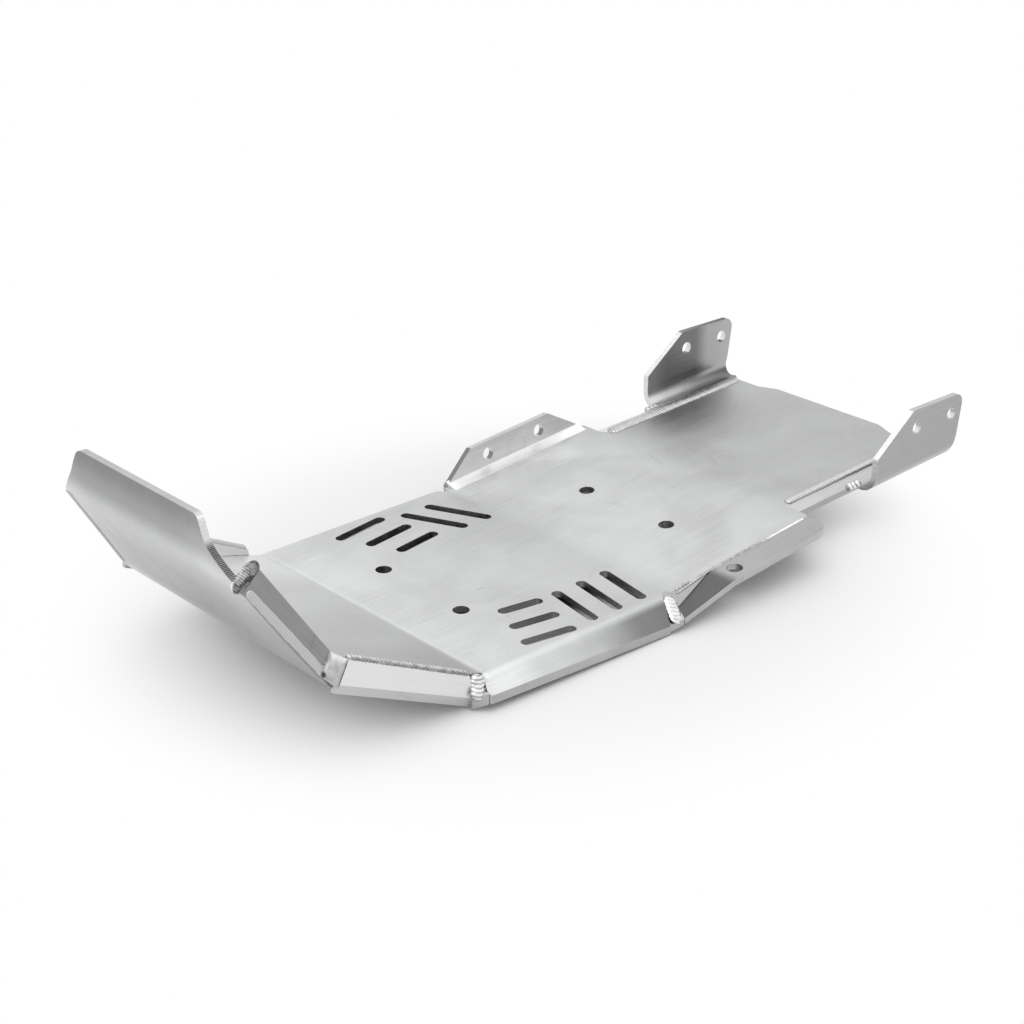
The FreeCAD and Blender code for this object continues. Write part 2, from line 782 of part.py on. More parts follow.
def bracket_tack(plate, bracket):
    """Short weld in the corner where the left bracket's foot turns into its upright."""
    start = tail_point(tail_length - bracket_upright_ahead, bracket_strip_half)
    start.z = start.z - foot_drop(bracket_strip_half)
    run = tail_run * -tack_length
    return clear_of(rod(start, start + run, tack_radius), [plate, bracket])


def side_pieces(plate, shoulder_half, strip_lifts, cap_inset, cap_start):
    """Pieces that both sides have, built on the left of the plate."""
    corners = cheek_frame(shoulder_half)
    strip_corners = strip_frame(*strip_lifts)
    strip = ramp_strip(plate, strip_corners)
    cheek_plate = cheek(plate, corners)
    bracket = rear_bracket(plate)
    along_strip = strip_bead(strip_corners, [strip, cheek_plate, plate])
    seam = seam_bead(corners, [cheek_plate, strip, plate])
    around_patch = [cheek_plate, strip, plate, seam, along_strip]
    return {
        "ramp_strip": strip,
        "nose_cheek": cheek_plate,
        "rear_bracket": bracket,
        "strip_bead": along_strip,
        "cheek_seam_bead": seam,
        "cheek_cap_weld": cheek_cap(corners, cap_inset, cap_start, [cheek_plate, plate, seam]),
        "corner_patch_weld": corner_patch(corners, strip_corners, around_patch),
        "fold_corner_weld": fold_weld(strip_corners, [plate, strip, along_strip]),
        "tail_bead": tail_bead(plate, bracket),
        "bracket_tack_weld": bracket_tack(plate, bracket),
    }


def build():
    """All the pieces by name."""
    plate = main_plate()
    pieces = {"main_plate": plate}
    left_pieces = side_pieces(
        plate, left_shoulder_half, left_strip_lifts, left_cap_inset, left_cap_start)
    for name, shape in left_pieces.items():
        pieces[name + "_left"] = shape
    right_pieces = side_pieces(
        mirrored(plate), right_shoulder_half, right_strip_lifts, right_cap_inset, right_cap_start)
    for name, shape in right_pieces.items():
        pieces[name + "_right"] = mirrored(shape)
    ledge = ledge_bracket(plate)
    foot_weld = ledge_weld(plate, ledge)
    pieces["ledge_bracket_left"] = ledge
    pieces["ledge_foot_weld"] = foot_weld
    pieces["ledge_edge_bead"] = ledge_edge_bead(plate, ledge, foot_weld)
    tab = mid_tab(plate)
    pieces["mid_tab_right"] = tab
    pieces["mid_tab_fillet_weld"] = tab_fillet(plate, tab)
    return pieces


os.makedirs("parts", exist_ok=True)
for name, shape in build().items():
    shape.exportStep("parts/" + name + ".step")
    print(name, len(shape.Solids), shape.isValid(), round(shape.Volume, 1))
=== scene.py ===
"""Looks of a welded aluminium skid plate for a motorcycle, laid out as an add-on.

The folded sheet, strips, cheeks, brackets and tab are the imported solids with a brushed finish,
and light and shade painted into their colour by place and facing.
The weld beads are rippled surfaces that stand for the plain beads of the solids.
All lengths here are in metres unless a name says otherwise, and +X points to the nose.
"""

import math

import bmesh
import bpy
import numpy as np
from bpy.props import FloatProperty, FloatVectorProperty, PointerProperty
from bpy.types import Operator, Panel, PropertyGroup
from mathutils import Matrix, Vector


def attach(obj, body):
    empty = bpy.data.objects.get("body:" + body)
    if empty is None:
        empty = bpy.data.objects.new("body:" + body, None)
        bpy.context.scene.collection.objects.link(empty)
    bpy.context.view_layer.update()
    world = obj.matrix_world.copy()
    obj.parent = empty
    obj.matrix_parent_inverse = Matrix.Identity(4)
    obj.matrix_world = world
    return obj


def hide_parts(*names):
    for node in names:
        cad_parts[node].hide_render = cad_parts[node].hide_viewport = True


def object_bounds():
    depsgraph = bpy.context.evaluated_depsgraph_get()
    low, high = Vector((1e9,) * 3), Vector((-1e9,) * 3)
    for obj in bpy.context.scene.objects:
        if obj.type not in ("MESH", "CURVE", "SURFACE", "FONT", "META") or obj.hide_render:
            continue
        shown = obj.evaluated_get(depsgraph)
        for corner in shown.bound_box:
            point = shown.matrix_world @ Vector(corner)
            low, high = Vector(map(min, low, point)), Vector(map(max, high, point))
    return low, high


bl_info = {
    "name": "Skid plate looks",
    "version": (1, 0, 0),
    "blender": (4, 5, 0),
    "location": "View3D > Sidebar > Skid plate",
    "description": "Finishes and weld beads of a motorcycle skid plate",
    "category": "Object",
}

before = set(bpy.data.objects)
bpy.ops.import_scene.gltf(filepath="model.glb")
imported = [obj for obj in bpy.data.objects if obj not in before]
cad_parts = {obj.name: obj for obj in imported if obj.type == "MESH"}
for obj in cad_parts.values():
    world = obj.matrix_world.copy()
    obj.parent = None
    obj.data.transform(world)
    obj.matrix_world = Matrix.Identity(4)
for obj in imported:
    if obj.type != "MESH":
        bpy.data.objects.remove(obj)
cad_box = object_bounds()

BODY = "root"
MM = 0.001
UP = np.array([0.0, 0.0, 1.0])
LEFT = np.array([0.0, 1.0, 0.0])
SIDES = {"left": 1.0, "right": -1.0}

# Places that repeat the part's source, in millimetres
STRIP_REAR_TOP = (53.0, 103.0, 5.3)
STRIP_FRONT_TOP = (130.2, 100.16, 43.0)
STRIP_GAUGE = 5.0
STEP_ANGLE = math.radians(5.0)
TAIL_ANGLE = math.radians(2.3)
STEP_START_X = -103.0
STEP_LENGTH = 124.5
STEP_HALF = 100.0
TAIL_HALF = 78.0
STRIP_LIFT = {"left": (0.0, 0.0), "right": (2.8, 5.0)}
STRIP_FRONT_BOTTOM = (138.8, 99.84, 25.4)
# Foot, top, rear top and rear foot of both cheeks, given on the left side
CHEEK_CORNERS = {
    "left": [
        (141.71, 93.09, 32.79), (177.38, 77.0, 89.0), (166.0, 76.57, 98.4), (133.56, 92.0, 43.36)],
    "right": [
        (141.78, 93.76, 32.9), (177.38, 83.0, 89.0), (166.0, 81.75, 98.4), (133.59, 92.22, 43.4)],
}
CAP_INSET = {"left": 2.5, "right": 5.0}
CAP_START = {"left": 2.0, "right": 6.0}

# Spines, outlines, facings and insets of the left welds, in millimetres
FOLD_SPINE = [(46.0, 99.7, 2.6), (47.6, 103.2, -4.4), (48.8, 106.0, -10.4)]
FOLD_UP = (-0.15, 0.8, 0.55)
FOLD_FOOT = [(43.0, 98.0, -12.2), (51.6, 98.2, -16.1), (51.6, 103.1, -16.1), (45.5, 110.4, -12.2)]
FOLD_FOOT_HEIGHT = 7.0
FOLD_FOOT_ROUNDING = 0.8
FOLD_DROP = {"left": 0.0, "right": 3.0}  # the right one stands lower
PATCH_FACING = (0.4, 0.9, 0.1)
TACK_SPINE = [(-290.5, 89.4, 10.9), (-285.0, 89.2, 10.5), (-277.5, 88.8, 10.3)]
TACK_UP = (0.0, 0.55, 0.8)
LEDGE_FOOT_SPINE = [
    (-101.4, 101.0, -0.9), (-99.6, 104.8, -3.4), (-97.2, 110.0, -6.6), (-94.0, 116.2, -10.8)]
LEDGE_FOOT_UP = (-0.1, 0.62, 0.77)
LEDGE_SIDE_SPINE = [(-108.0, 101.9, -1.0), (-118.0, 101.4, 0.4), (-133.0, 100.4, 2.4)]
LEDGE_SIDE_UP = (0.1, 0.6, 0.8)
SEAM_SETBACK = 2.6
SEAM_ENDS = (1.0, 4.0)
CAP_REACH = 2.2
PATCH_EDGE = 3.0
PATCH_RISE = 3.5
PATCH_INSET = (0.4, 0.5)
TAIL_BEAD_SPAN = (4.0, 133.0)
LEDGE_BEAD_SPAN = (-108.0, -222.0)

# The pit's painted shade in the left corner patch, as parts of the patch; the patch's shape has no
# hollow there
PIT_PLACE = 0.14
PIT_RADIUS = 0.07
PIT_RIM = 0.08
PIT_PAINTED_SHADE_LEVEL = {"left": 0.0, "right": 1.0}

# Width, height and ripple pitch in metres of the welds without settings of their own
SEAM_SECTION = (0.0050, 0.0006)
FOLD_SECTION = (0.0116, 0.0030)
TAIL_HEIGHT = 0.0014
TACK_SECTION = (0.0046, 0.0022, 0.0037)
LEDGE_FOOT_SECTION = (0.0094, 0.0015, 0.0027)
LEDGE_SIDE_SECTION = (0.0017, 0.0006, 0.0024)
LEDGE_EDGE_SECTION = (0.0020, 0.0004, 0.0021)

# Ripple depths, widths and finishes that differ between the sides
STRIP_DEPTH = {"left": 0.4, "right": 0.0}
STRIP_FINISH = {"left": "Toothed weld", "right": "Plain weld"}
TAIL_BEAD = {"left": (0.0052, "Plain weld"), "right": (0.0088, "Soft weld")}
TACK_FINISH = {"left": "Bright weld", "right": "Plain weld"}

# Painted light and shade round a bead against the turn in radians: 0 is its side, a quarter turn
# its top
STRIP_PAINTED_LIGHT_TURNS = ((0.0, 1.2, 2.0, 2.6, 4.0, 6.28), (0.8, 1.0, 0.9, 0.15, 0.1, 0.8))
CAP_PAINTED_LIGHT_TURNS = (
    (0.0, 0.95, 1.15, 1.4, 3.3, 4.2, 5.4, 6.28), (0.02, 0.02, 0.3, 1.0, 1.0, 0.4, 0.1, 0.02))

# Edges of the copied solids
WELD_GAP = 0.000002
FLAT_ANGLE = math.radians(0.3)
SHARP_ANGLE = math.radians(20.0)

# Painted light and shade as stops of place, in metres, or of facing, and level: tones that stand in
# for reflections and shade on the aluminium
SHEET_ALONG = (
    (-0.365, 0.72), (-0.245, 0.72), (-0.205, 0.87), (-0.12, 0.9), (-0.1, 0.83), (-0.05, 0.87),
    (0.0, 0.91), (0.03, 1.0), (0.037, 1.0), (0.0395, 1.12), (0.042, 0.88))
RAMP_ACROSS = ((-0.095, 1.25), (-0.03, 0.97), (0.03, 0.84), (0.095, 0.72))
STEP_ACROSS = ((-0.1, 1.28), (-0.085, 1.22), (-0.06, 1.0))
NOSE_UP = ((0.03, 0.63), (0.06, 0.68), (0.078, 0.82), (0.092, 0.92), (0.107, 0.58), (0.12, 0.43))
NOSE_ACROSS = ((-0.09, 1.22), (-0.05, 0.98), (0.0, 0.96), (0.03, 1.02), (0.06, 1.2))
SKIRT_ALONG = ((-0.1, 0.3), (-0.075, 0.38), (-0.035, 0.78), (0.0, 0.95), (0.03, 1.25))
EDGE_UP = (
    (0.0, 0.75), (0.03, 0.8), (0.04, 1.1), (0.082, 1.0), (0.09, 0.45), (0.096, 0.25),
    (0.106, 0.22), (0.111, 1.1))
FAR_BRACKET_ALONG = ((-0.38, 0.85), (-0.352, 0.75), (-0.335, 0.36), (-0.31, 0.36), (-0.29, 0.6))
FAR_BEND_ALONG = ((-0.38, 0.22), (-0.34, 0.4), (-0.31, 0.75), (-0.29, 1.0))
FAR_BEND_UP = ((0.012, 1.4), (0.018, 0.8), (0.024, 0.75))
NEAR_BEND_FACING = ((-1.0, 0.5), (-0.75, 0.75), (-0.3, 1.15), (0.2, 1.0))
RIM_TONE = 0.78
LOWER_EDGE_TONE = 0.46
NEAR_BRACKET_TONE = 0.78
FRONT_EDGE_TONE = 1.5
SLANTED_EDGE_TONE = 0.45

# Where a painted tone of light or shade starts and is full, in metres or as a part of the facing
ON_RAMP = (0.038, 0.046)
STEP_FRONT = (-0.1, -0.11)
STEP_REAR = (-0.205, -0.19)
ON_NOSE = (0.136, 0.146)
RIM_FACING = (0.75, 0.9)
RIM_UP = (0.1, 0.105)
SKIRT_SIDE = (0.096, 0.102)
SKIRT_DOWN = (0.0, -0.003)
LOWER_EDGE_FACING = (0.1, -0.1)
NOSE_EDGE_UP = (0.03, 0.035)
EDGE_FACING = (0.8, 0.88)
NOSE_EDGE_FACING = (0.5, 0.62)
LEFT_HALF = (-0.01, 0.01)
UPRIGHT_FACING = (0.8, 0.98)
FRONT_FACING = (0.4, 0.6)
SLANTED_FACING = (0.2, 0.4)
SLANTED_UP = (-0.2, 0.1)
DROP_FACING = (0.7, 0.5)

# The same with the levels at its start and where it is full; all but the saw marks are painted
# light and shade
SAW_MARKS = (0.07, 0.09, 0.0, 0.24)
STRIP_LOWER_EDGE = (-0.15, -0.3, 1.0, 0.76)
STRIP_FRONT_END = (0.3, 0.7, 1.0, 0.65)
TAB_TOP_EDGE = (0.7, 0.95, 1.4, 1.15)
LEDGE_BEND = (-0.143, -0.135, 0.76, 0.22)

# Oval spots seen from above: centre and reach in metres, depth, and rim as parts of the reach. The
# tail's spot is a painted shade and the dark floor's a painted shadow below the deck
TAIL_PAINTED_SHADE = ((-0.288, -0.078), (0.055, 0.062), 0.46)
WHITE_FLOOR = ((-0.085, 0.0), (0.36, 0.32), 1.0, (0.42, 0.85))
FLOOR_PAINTED_SHADOW = ((-0.06, -0.028), (0.1, 0.1), 0.9, (0.75, 1.0))

# Stage: place, width and power of each lamp, and the photograph's view
LAMPS = {
    "key": ((0.45, 0.55, 1.6), 2.1, 12.5),
    "back_fill": ((-0.7, -0.6, 1.8), 1.6, 4.0),
}
LAMP_TARGET = (-0.08, 0.0, 0.03)
CAMERA_PLACE = (0.65765, 0.8001, 0.5257)
CAMERA_TURN = math.radians(42.33)
CAMERA_HEIGHT = math.radians(24.72)
SENSOR_WIDTH = 36.0
FLOOR_GAP = 0.0008
FLOOR_REACH = 12.0


# ---- Shapes ------------------------------------------------------------------------------


def unit(vector):
    """The vector divided by its length."""
    return vector / np.linalg.norm(vector)


def mirrored(points, side):
    """Points of the left side, or their mirror images across the middle for the right side."""
    return np.asarray(points, dtype=float) * np.array([1.0, SIDES[side], 1.0])


def shell_object(name, grid, node, finish, ripple=None):
    """Mesh over a grid of points whose rows run along the piece and columns round it.

    Quads join neighbouring points, the last column joins the first, and each end row is closed
    by a fan of triangles on its mean point. The ripple attribute holds each point's level: its
    ripple, and on some beads painted light and shade."""
    rows, columns = grid.shape[:2]
    ring = np.arange(rows * columns).reshape(rows, columns)
    following = np.roll(ring, -1, axis=1)
    quads = np.stack([ring[:-1], ring[1:], following[1:], following[:-1]], axis=-1).reshape(-1, 4)
    poles = np.array([grid[0].mean(axis=0), grid[-1].mean(axis=0)])
    first = np.full(columns, rows * columns)
    fans = np.concatenate([
        np.stack([first, ring[0], following[0]], axis=-1),
        np.stack([first + 1, following[-1], ring[-1]], axis=-1),
    ])
    vertices = np.concatenate([grid.reshape(-1, 3), poles])
    mesh = bpy.data.meshes.new(name)
    mesh.from_pydata(vertices.tolist(), [], quads.tolist() + fans.tolist())
    mesh.polygons.foreach_set("use_smooth", np.ones(len(mesh.polygons), dtype=bool))
    level = np.zeros(len(vertices))
    if ripple is not None:
        level[: rows * columns] = np.broadcast_to(ripple, (rows, columns)).ravel()
    layer = mesh.attributes.new("ripple", "FLOAT", "POINT")
    layer.data.foreach_set("value", level.astype(np.float32))
    mesh.validate()
    mesh.update()
    return place_piece(name, mesh, node, finish)


def place_piece(name, mesh, node, finish):
    """The mesh as a piece of the object with a finish, standing for a node of the solids."""
    mesh.materials.append(bpy.data.materials[finish])
    piece = bpy.data.objects.new(name, mesh)
    bpy.context.scene.collection.objects.link(piece)
    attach(piece, BODY)
    if node:
        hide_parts(node)
    return piece


def softened(node, finish, width):
    """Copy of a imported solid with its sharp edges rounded, standing for the solid."""
    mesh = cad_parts[node].data.copy()
    mesh.name = "soft_" + node
    mesh.materials.clear()
    work = bmesh.new()
    work.from_mesh(mesh)
    bmesh.ops.remove_doubles(work, verts=work.verts, dist=WELD_GAP)
    bmesh.ops.dissolve_limit(work, angle_limit=FLAT_ANGLE, verts=work.verts, edges=work.edges)
    for face in work.faces:
        face.smooth = True
    work.to_mesh(mesh)
    work.free()
    piece = place_piece("soft_" + node, mesh, node, finish)
    bevel = piece.modifiers.new("rounded edges", "BEVEL")
    bevel.width = width
    bevel.segments = 2
    bevel.limit_method = "ANGLE"
    bevel.angle_limit = SHARP_ANGLE
    normals = piece.modifiers.new("even normals", "WEIGHTED_NORMAL")
    normals.weight = 100
    normals.keep_sharp = False


def uneven(distance, seed):
    """Slow irregular wave between about -1 and 1: three sines with seeded phases added up."""
    phases = np.random.default_rng(seed).uniform(0, 2 * math.pi, 3)
    waves = (180.0, 410.0, 930.0)
    return sum(np.sin(distance * w + p) for w, p in zip(waves, phases)) / 3


def bead_grid(spine, up, width, height, pitch, depth, bow, sink, seed, turns=18):
    """Points of a rippled weld bead carried along a spine, and how high each ripple stands.

    The section is half an ellipse above the spine and a shallow one below it. Ripples are the
    absolute cosine of the distance over the pitch, bent into crescents by the square of the
    side offset. Quarter circles close the ends, and a slow seeded wave varies the width."""
    spine = np.asarray(spine, dtype=float) * MM
    steps = np.linalg.norm(np.diff(spine, axis=0), axis=1)
    marks = np.concatenate([[0.0], np.cumsum(steps)])
    length = marks[-1]
    rows = max(24, int(length / pitch * 9))
    distance = np.linspace(0.0, length, rows)
    # more rows close to both ends, so the rounded ends stay smooth
    distance = length * (0.5 - 0.5 * np.cos(distance / length * math.pi)) * 0.15 + distance * 0.85
    centre = np.stack([np.interp(distance, marks, spine[:, i]) for i in range(3)], axis=-1)
    along = np.gradient(centre, axis=0)
    along /= np.linalg.norm(along, axis=1, keepdims=True)
    side = np.cross(along, np.asarray(up, dtype=float))
    side /= np.linalg.norm(side, axis=1, keepdims=True)
    lift = np.cross(side, along)
    angle = turns_round(turns)
    across = np.cos(angle)[None, :]
    rise = np.sin(angle)[None, :]
    phase = distance[:, None] / pitch + bow * across ** 2
    ripple = np.abs(np.cos(math.pi * phase))
    swell = 1.0 + depth * (ripple - 0.6)
    cap = min(width / 2, length / 3)
    near_end = np.clip(np.minimum(distance, length - distance) / cap, 0.02, 1.0)
    close = np.sqrt(1.0 - (1.0 - near_end) ** 2)[:, None]
    wander = 1.0 + 0.07 * uneven(distance, seed)[:, None]
    half = width / 2 * close * wander * (1.0 + 0.35 * depth * (ripple - 0.6))
    above = height * close * swell * wander
    offset = np.where(rise > 0, above * rise, sink * rise * close)
    grid = (
        centre[:, None, :]
        + side[:, None, :] * (half * across)[:, :, None]
        + lift[:, None, :] * offset[:, :, None]
    )
    return grid, ripple


def pillow_grid(corners, normal, bulge, back, seed, count=22):
    """Points of a built-up weld patch between four corners, as rings from rim to rim.

    Front and back are bilinear between the corners. The front is lifted along the normal by
    the product of two rounded steps, and a seeded wave makes it lumpy. Columns go over the
    front and back again behind it."""
    corners = np.asarray(corners, dtype=float) * MM
    normal = unit(np.asarray(normal, dtype=float))
    along = np.linspace(0, 1, count)[:, None]
    across = np.linspace(0, 1, count)[None, :]
    flat = (
        corners[0] * ((1 - along) * (1 - across))[..., None]
        + corners[1] * ((1 - along) * across)[..., None]
        + corners[2] * (along * across)[..., None]
        + corners[3] * (along * (1 - across))[..., None]
    )
    dome = (1 - (2 * along - 1) ** 6) * (1 - (2 * across - 1) ** 6)
    lumps = 1.0 + 0.25 * uneven(along * 0.02 + across * 0.011, seed)
    front = flat + normal * (bulge * dome * lumps)[..., None]
    behind = flat - normal * (back * dome)[..., None]
    return np.concatenate([front, behind[:, ::-1]], axis=1)


def block_grid(outline, height, rounding, count=8):
    """Points of a low block over an outline: rings from the bottom up, edges as quarter circles."""
    outline = np.asarray(outline, dtype=float)
    share = np.linspace(0, 1, count, endpoint=False)[None, :, None]
    ring = outline[:, None] * (1 - share) + np.roll(outline, -1, axis=0)[:, None] * share
    ring = ring.reshape(-1, 3)
    inward = ring.mean(axis=0) - ring
    inward[:, 2] = 0.0
    inward /= np.linalg.norm(inward, axis=1, keepdims=True)
    turn = np.linspace(0, math.pi / 2, 5)
    rows = [(1 - math.sin(a), rounding * (1 - math.cos(a))) for a in turn]
    rows += [(1 - math.cos(a), height - rounding * (1 - math.sin(a))) for a in turn]
    return np.array([ring + inward * rounding * inset + UP * lift for inset, lift in rows]) * MM


def turns_round(count):
    """Turns round a bead in radians, evenly spaced from its side over its top."""
    return np.linspace(0, 2 * math.pi, count, endpoint=False)


# ---- Places ------------------------------------------------------------------------------


def step_point(x, y):
    """Point on the step's top face, in millimetres."""
    return np.array([x, y, (STEP_START_X - x) * math.tan(STEP_ANGLE)])


def tail_point(distance, y):
    """Point on the tail's top face, at a distance behind the step, in millimetres."""
    x = STEP_START_X - STEP_LENGTH * math.cos(STEP_ANGLE) - distance * math.cos(TAIL_ANGLE)
    z = STEP_LENGTH * math.sin(STEP_ANGLE) + distance * math.sin(TAIL_ANGLE)
    return np.array([x, y, z])


def cheek_frame(side):
    """Corners of a left cheek in millimetres, its seam's direction and its outward normal."""
    foot, top, rear_top, rear_foot = (np.array(corner) for corner in CHEEK_CORNERS[side])
    seam = unit(top - foot)
    outward = unit(np.cross(seam, rear_foot - foot))
    outward = outward * math.copysign(1.0, outward[1])
    return foot, top, rear_top, rear_foot, seam, outward


# ---- Finishes ----------------------------------------------------------------------------


def feed(tree, socket, value):
    """Links another node's output to a socket, or sets the socket's own value."""
    if isinstance(value, bpy.types.NodeSocket):
        tree.links.new(value, socket)
    else:
        socket.default_value = value


def add_node(tree, kind, inputs=None, **settings):
    """New shader node with its settings and with outputs or values fed into its inputs."""
    made = tree.nodes.new(kind)
    for key, value in settings.items():
        setattr(made, key, value)
    for label, value in (inputs or {}).items():
        feed(tree, made.inputs[label], value)
    return made


def rise(tree, value, start, end, low=0.0, high=1.0):
    """Smooth step: low up to start, high from end, an S curve between them."""
    return add_node(
        tree, "ShaderNodeMapRange", {
            "From Min": start, "From Max": end, "To Min": low, "To Max": high, "Value": value},
        interpolation_type="SMOOTHSTEP").outputs["Result"]


def maths(tree, operation, first, second):
    """Sum, product or other sum of two values, the second a socket or a number."""
    return add_node(
        tree, "ShaderNodeMath", {0: first, 1: second}, operation=operation).outputs[0]


def blend(tree, factor, first, second):
    """Value that goes from the first to the second with a factor; each a socket or a number."""
    return add_node(
        tree, "ShaderNodeMix", {"Factor": factor, 2: first, 3: second},
        data_type="FLOAT").outputs[0]


def profile(tree, value, stops):
    """Level that follows a value through stops of value and level, eased between them."""
    start, end = stops[0][0], stops[-1][0]
    place = add_node(
        tree, "ShaderNodeMapRange", {"From Min": start, "From Max": end, "Value": value})
    ramp = add_node(tree, "ShaderNodeValToRGB", {"Fac": place.outputs["Result"]})
    ramp.color_ramp.interpolation = "EASE"
    marks = ramp.color_ramp.elements
    while len(marks) < len(stops):
        marks.new(0.5)
    for mark, (spot, _) in zip(marks, stops):
        mark.position = (spot - start) / (end - start)
    # halved, because a ramp's colours end at 1
    for mark, (_, level) in zip(marks, stops):
        mark.color = (level / 2, level / 2, level / 2, 1.0)
    return maths(tree, "MULTIPLY", ramp.outputs["Color"], 2.0)


def noise_at(tree, place, **values):
    """Value of a 3-D noise at a place."""
    return add_node(
        tree, "ShaderNodeTexNoise", {"Vector": place, **values},
        noise_dimensions="3D").outputs["Fac"]


def new_group(name, setting, value, label):
    """New shader group with a place, one setting and one result: its tree and their sockets."""
    tree = bpy.data.node_groups.new(name, "ShaderNodeTree")
    tree.interface.new_socket("Vector", in_out="INPUT", socket_type="NodeSocketVector")
    kind = "NodeSocketFloat" if isinstance(value, float) else "NodeSocketVector"
    tree.interface.new_socket(setting, in_out="INPUT", socket_type=kind).default_value = value
    tree.interface.new_socket(label, in_out="OUTPUT", socket_type="NodeSocketFloat")
    source = add_node(tree, "NodeGroupInput").outputs
    result = add_node(tree, "NodeGroupOutput").inputs[label]
    return tree, source["Vector"], source[setting], result


def product(tree, first, second):
    """Product of two vectors, part by part."""
    return add_node(
        tree, "ShaderNodeVectorMath", {0: first, 1: second}, operation="MULTIPLY").outputs[0]


def grain_group():
    """Brush marks: a coarse and a fine noise on stretched coordinates, added up."""
    tree, place, stretch, result = new_group("Brush marks", "Stretch", (9.0, 520.0, 9.0), "Marks")
    place = product(tree, place, stretch)
    coarse, fine = (
        noise_at(tree, place, Scale=scale, Detail=detail, Roughness=0.62)
        for scale, detail in ((1.0, 3.0), (3.1, 2.0)))
    feed(tree, result, rise(tree, maths(tree, "ADD", coarse, fine), 0.7, 1.3))


def cloud_group():
    """Soft smudges: a large noise bent by a larger one and spread to the full range."""
    tree, place, scale, result = new_group("Mill smudges", "Scale", 14.0, "Smudge")
    noise = noise_at(tree, place, Scale=scale, Detail=5.0, Roughness=0.55, Distortion=0.8)
    feed(tree, result, rise(tree, noise, 0.3, 0.7))


def scratch_group():
    """Hair scratches: thin lines where a stretched cell pattern has its borders."""
    tree, place, stretch, result = new_group(
        "Hair scratches", "Stretch", (18.0, 70.0, 18.0), "Scratch")
    cells = add_node(
        tree, "ShaderNodeTexVoronoi", {"Vector": product(tree, place, stretch), "Scale": 1.0},
        feature="DISTANCE_TO_EDGE")
    thin = rise(tree, cells.outputs["Distance"], 0.0, 0.02, 1.0, 0.0)
    here = rise(tree, noise_at(tree, place, Scale=30.0), 0.5, 0.66)
    feed(tree, result, times(tree, thin, here))


def cut_group():
    """Saw marks: fine bands up a cut edge, between -1 and 1."""
    tree, place, scale, result = new_group("Cut edge", "Scale", 480.0, "Bands")
    wave = add_node(
        tree, "ShaderNodeTexWave", {
            "Vector": place, "Scale": scale, "Distortion": 2.0, "Detail": 2.0,
            "Detail Scale": 1.5},
        wave_type="BANDS", bands_direction="Z")
    centred = maths(tree, "SUBTRACT", wave.outputs["Fac"], 0.5)
    feed(tree, result, times(tree, centred, 2.0))


def group_value(tree, group, place, **values):
    """A group's result at a place, with the group's own values."""
    return add_node(
        tree, "ShaderNodeGroup", {"Vector": place, **values},
        node_tree=bpy.data.node_groups[group]).outputs[0]


def new_metal(name):
    """New metallic material: its node tree, its shader and the place on the object."""
    material = bpy.data.materials.new(name)
    material.use_nodes = True
    tree = material.node_tree
    shader = tree.nodes["Principled BSDF"]
    shader.inputs["Metallic"].default_value = 1.0
    return tree, shader, add_node(tree, "ShaderNodeTexCoord").outputs["Object"]


def add_bump(tree, shader, height, strength, distance):
    """Small bumps of a height on a shader."""
    bump = add_node(
        tree, "ShaderNodeBump", {"Strength": strength, "Distance": distance, "Height": height})
    feed(tree, shader.inputs["Normal"], bump.outputs["Normal"])


def brushed_material(name, colour, grain, finish, shade=None):
    """Brushed aluminium: streaks, smudges and hair scratches over the plain colour.

    grain holds the turn in the side view, the stretch and the depth of the streaks. finish holds
    the roughness and the depth of the smudges. shade paints light and shade into the colour as a
    tone from place and normal."""
    turn, stretch, depth = grain
    roughness, cloudy = finish
    tree, shader, place = new_metal(name)
    mapping = add_node(tree, "ShaderNodeMapping", {"Vector": place, "Rotation": (0.0, turn, 0.0)})
    turned = mapping.outputs["Vector"]
    marks = group_value(tree, "Brush marks", turned, Stretch=stretch)
    smudge = group_value(tree, "Mill smudges", place, Scale=16.0)
    scratch = group_value(tree, "Hair scratches", turned)
    level = times(
        tree, rise(tree, marks, 0.0, 1.0, 1.0 - depth, 1.0 + depth),
        rise(tree, smudge, 0.0, 1.0, 1.0 - cloudy, 1.0 + cloudy),
        rise(tree, scratch, 0.0, 1.0, 1.0, 0.9))
    # painted light and shade, from place and facing
    if shade is not None:
        look = add_node(tree, "ShaderNodeNewGeometry").outputs["Normal"]
        level = times(tree, level, shade(tree, place, look))
    coloured = add_node(
        tree, "ShaderNodeVectorMath", {0: colour, "Scale": level}, operation="SCALE")
    feed(tree, shader.inputs["Base Color"], coloured.outputs[0])
    gloss = maths(
        tree, "ADD", rise(tree, marks, 0.0, 1.0, roughness - 0.05, roughness + 0.05),
        rise(tree, smudge, 0.0, 1.0, -0.03, 0.03))
    feed(tree, shader.inputs["Roughness"], gloss)
    add_bump(tree, shader, maths(tree, "SUBTRACT", marks, scratch), 0.2, 0.0001)


def split_xyz(tree, vector):
    """The three parts of a vector."""
    return add_node(tree, "ShaderNodeSeparateXYZ", {0: vector}).outputs


def size_of(tree, value):
    """A value without its sign."""
    return add_node(tree, "ShaderNodeMath", {0: value}, operation="ABSOLUTE").outputs[0]


def times(tree, first, *others):
    """Product of values."""
    for other in others:
        first = maths(tree, "MULTIPLY", first, other)
    return first


def cloud(tree, place, centre, reach, depth, rim=(0.2, 1.2)):
    """1 outside a soft oval spot seen from above and less, by the depth, at its centre."""
    spot = add_node(
        tree, "ShaderNodeMapping",
        {"Vector": place, "Location": (*centre, 0.0), "Scale": (*reach, 1000.0)},
        vector_type="TEXTURE")
    length = add_node(
        tree, "ShaderNodeVectorMath", {0: spot.outputs["Vector"]}, operation="LENGTH")
    return rise(tree, length.outputs["Value"], *rim, 1.0 - depth, 1.0)


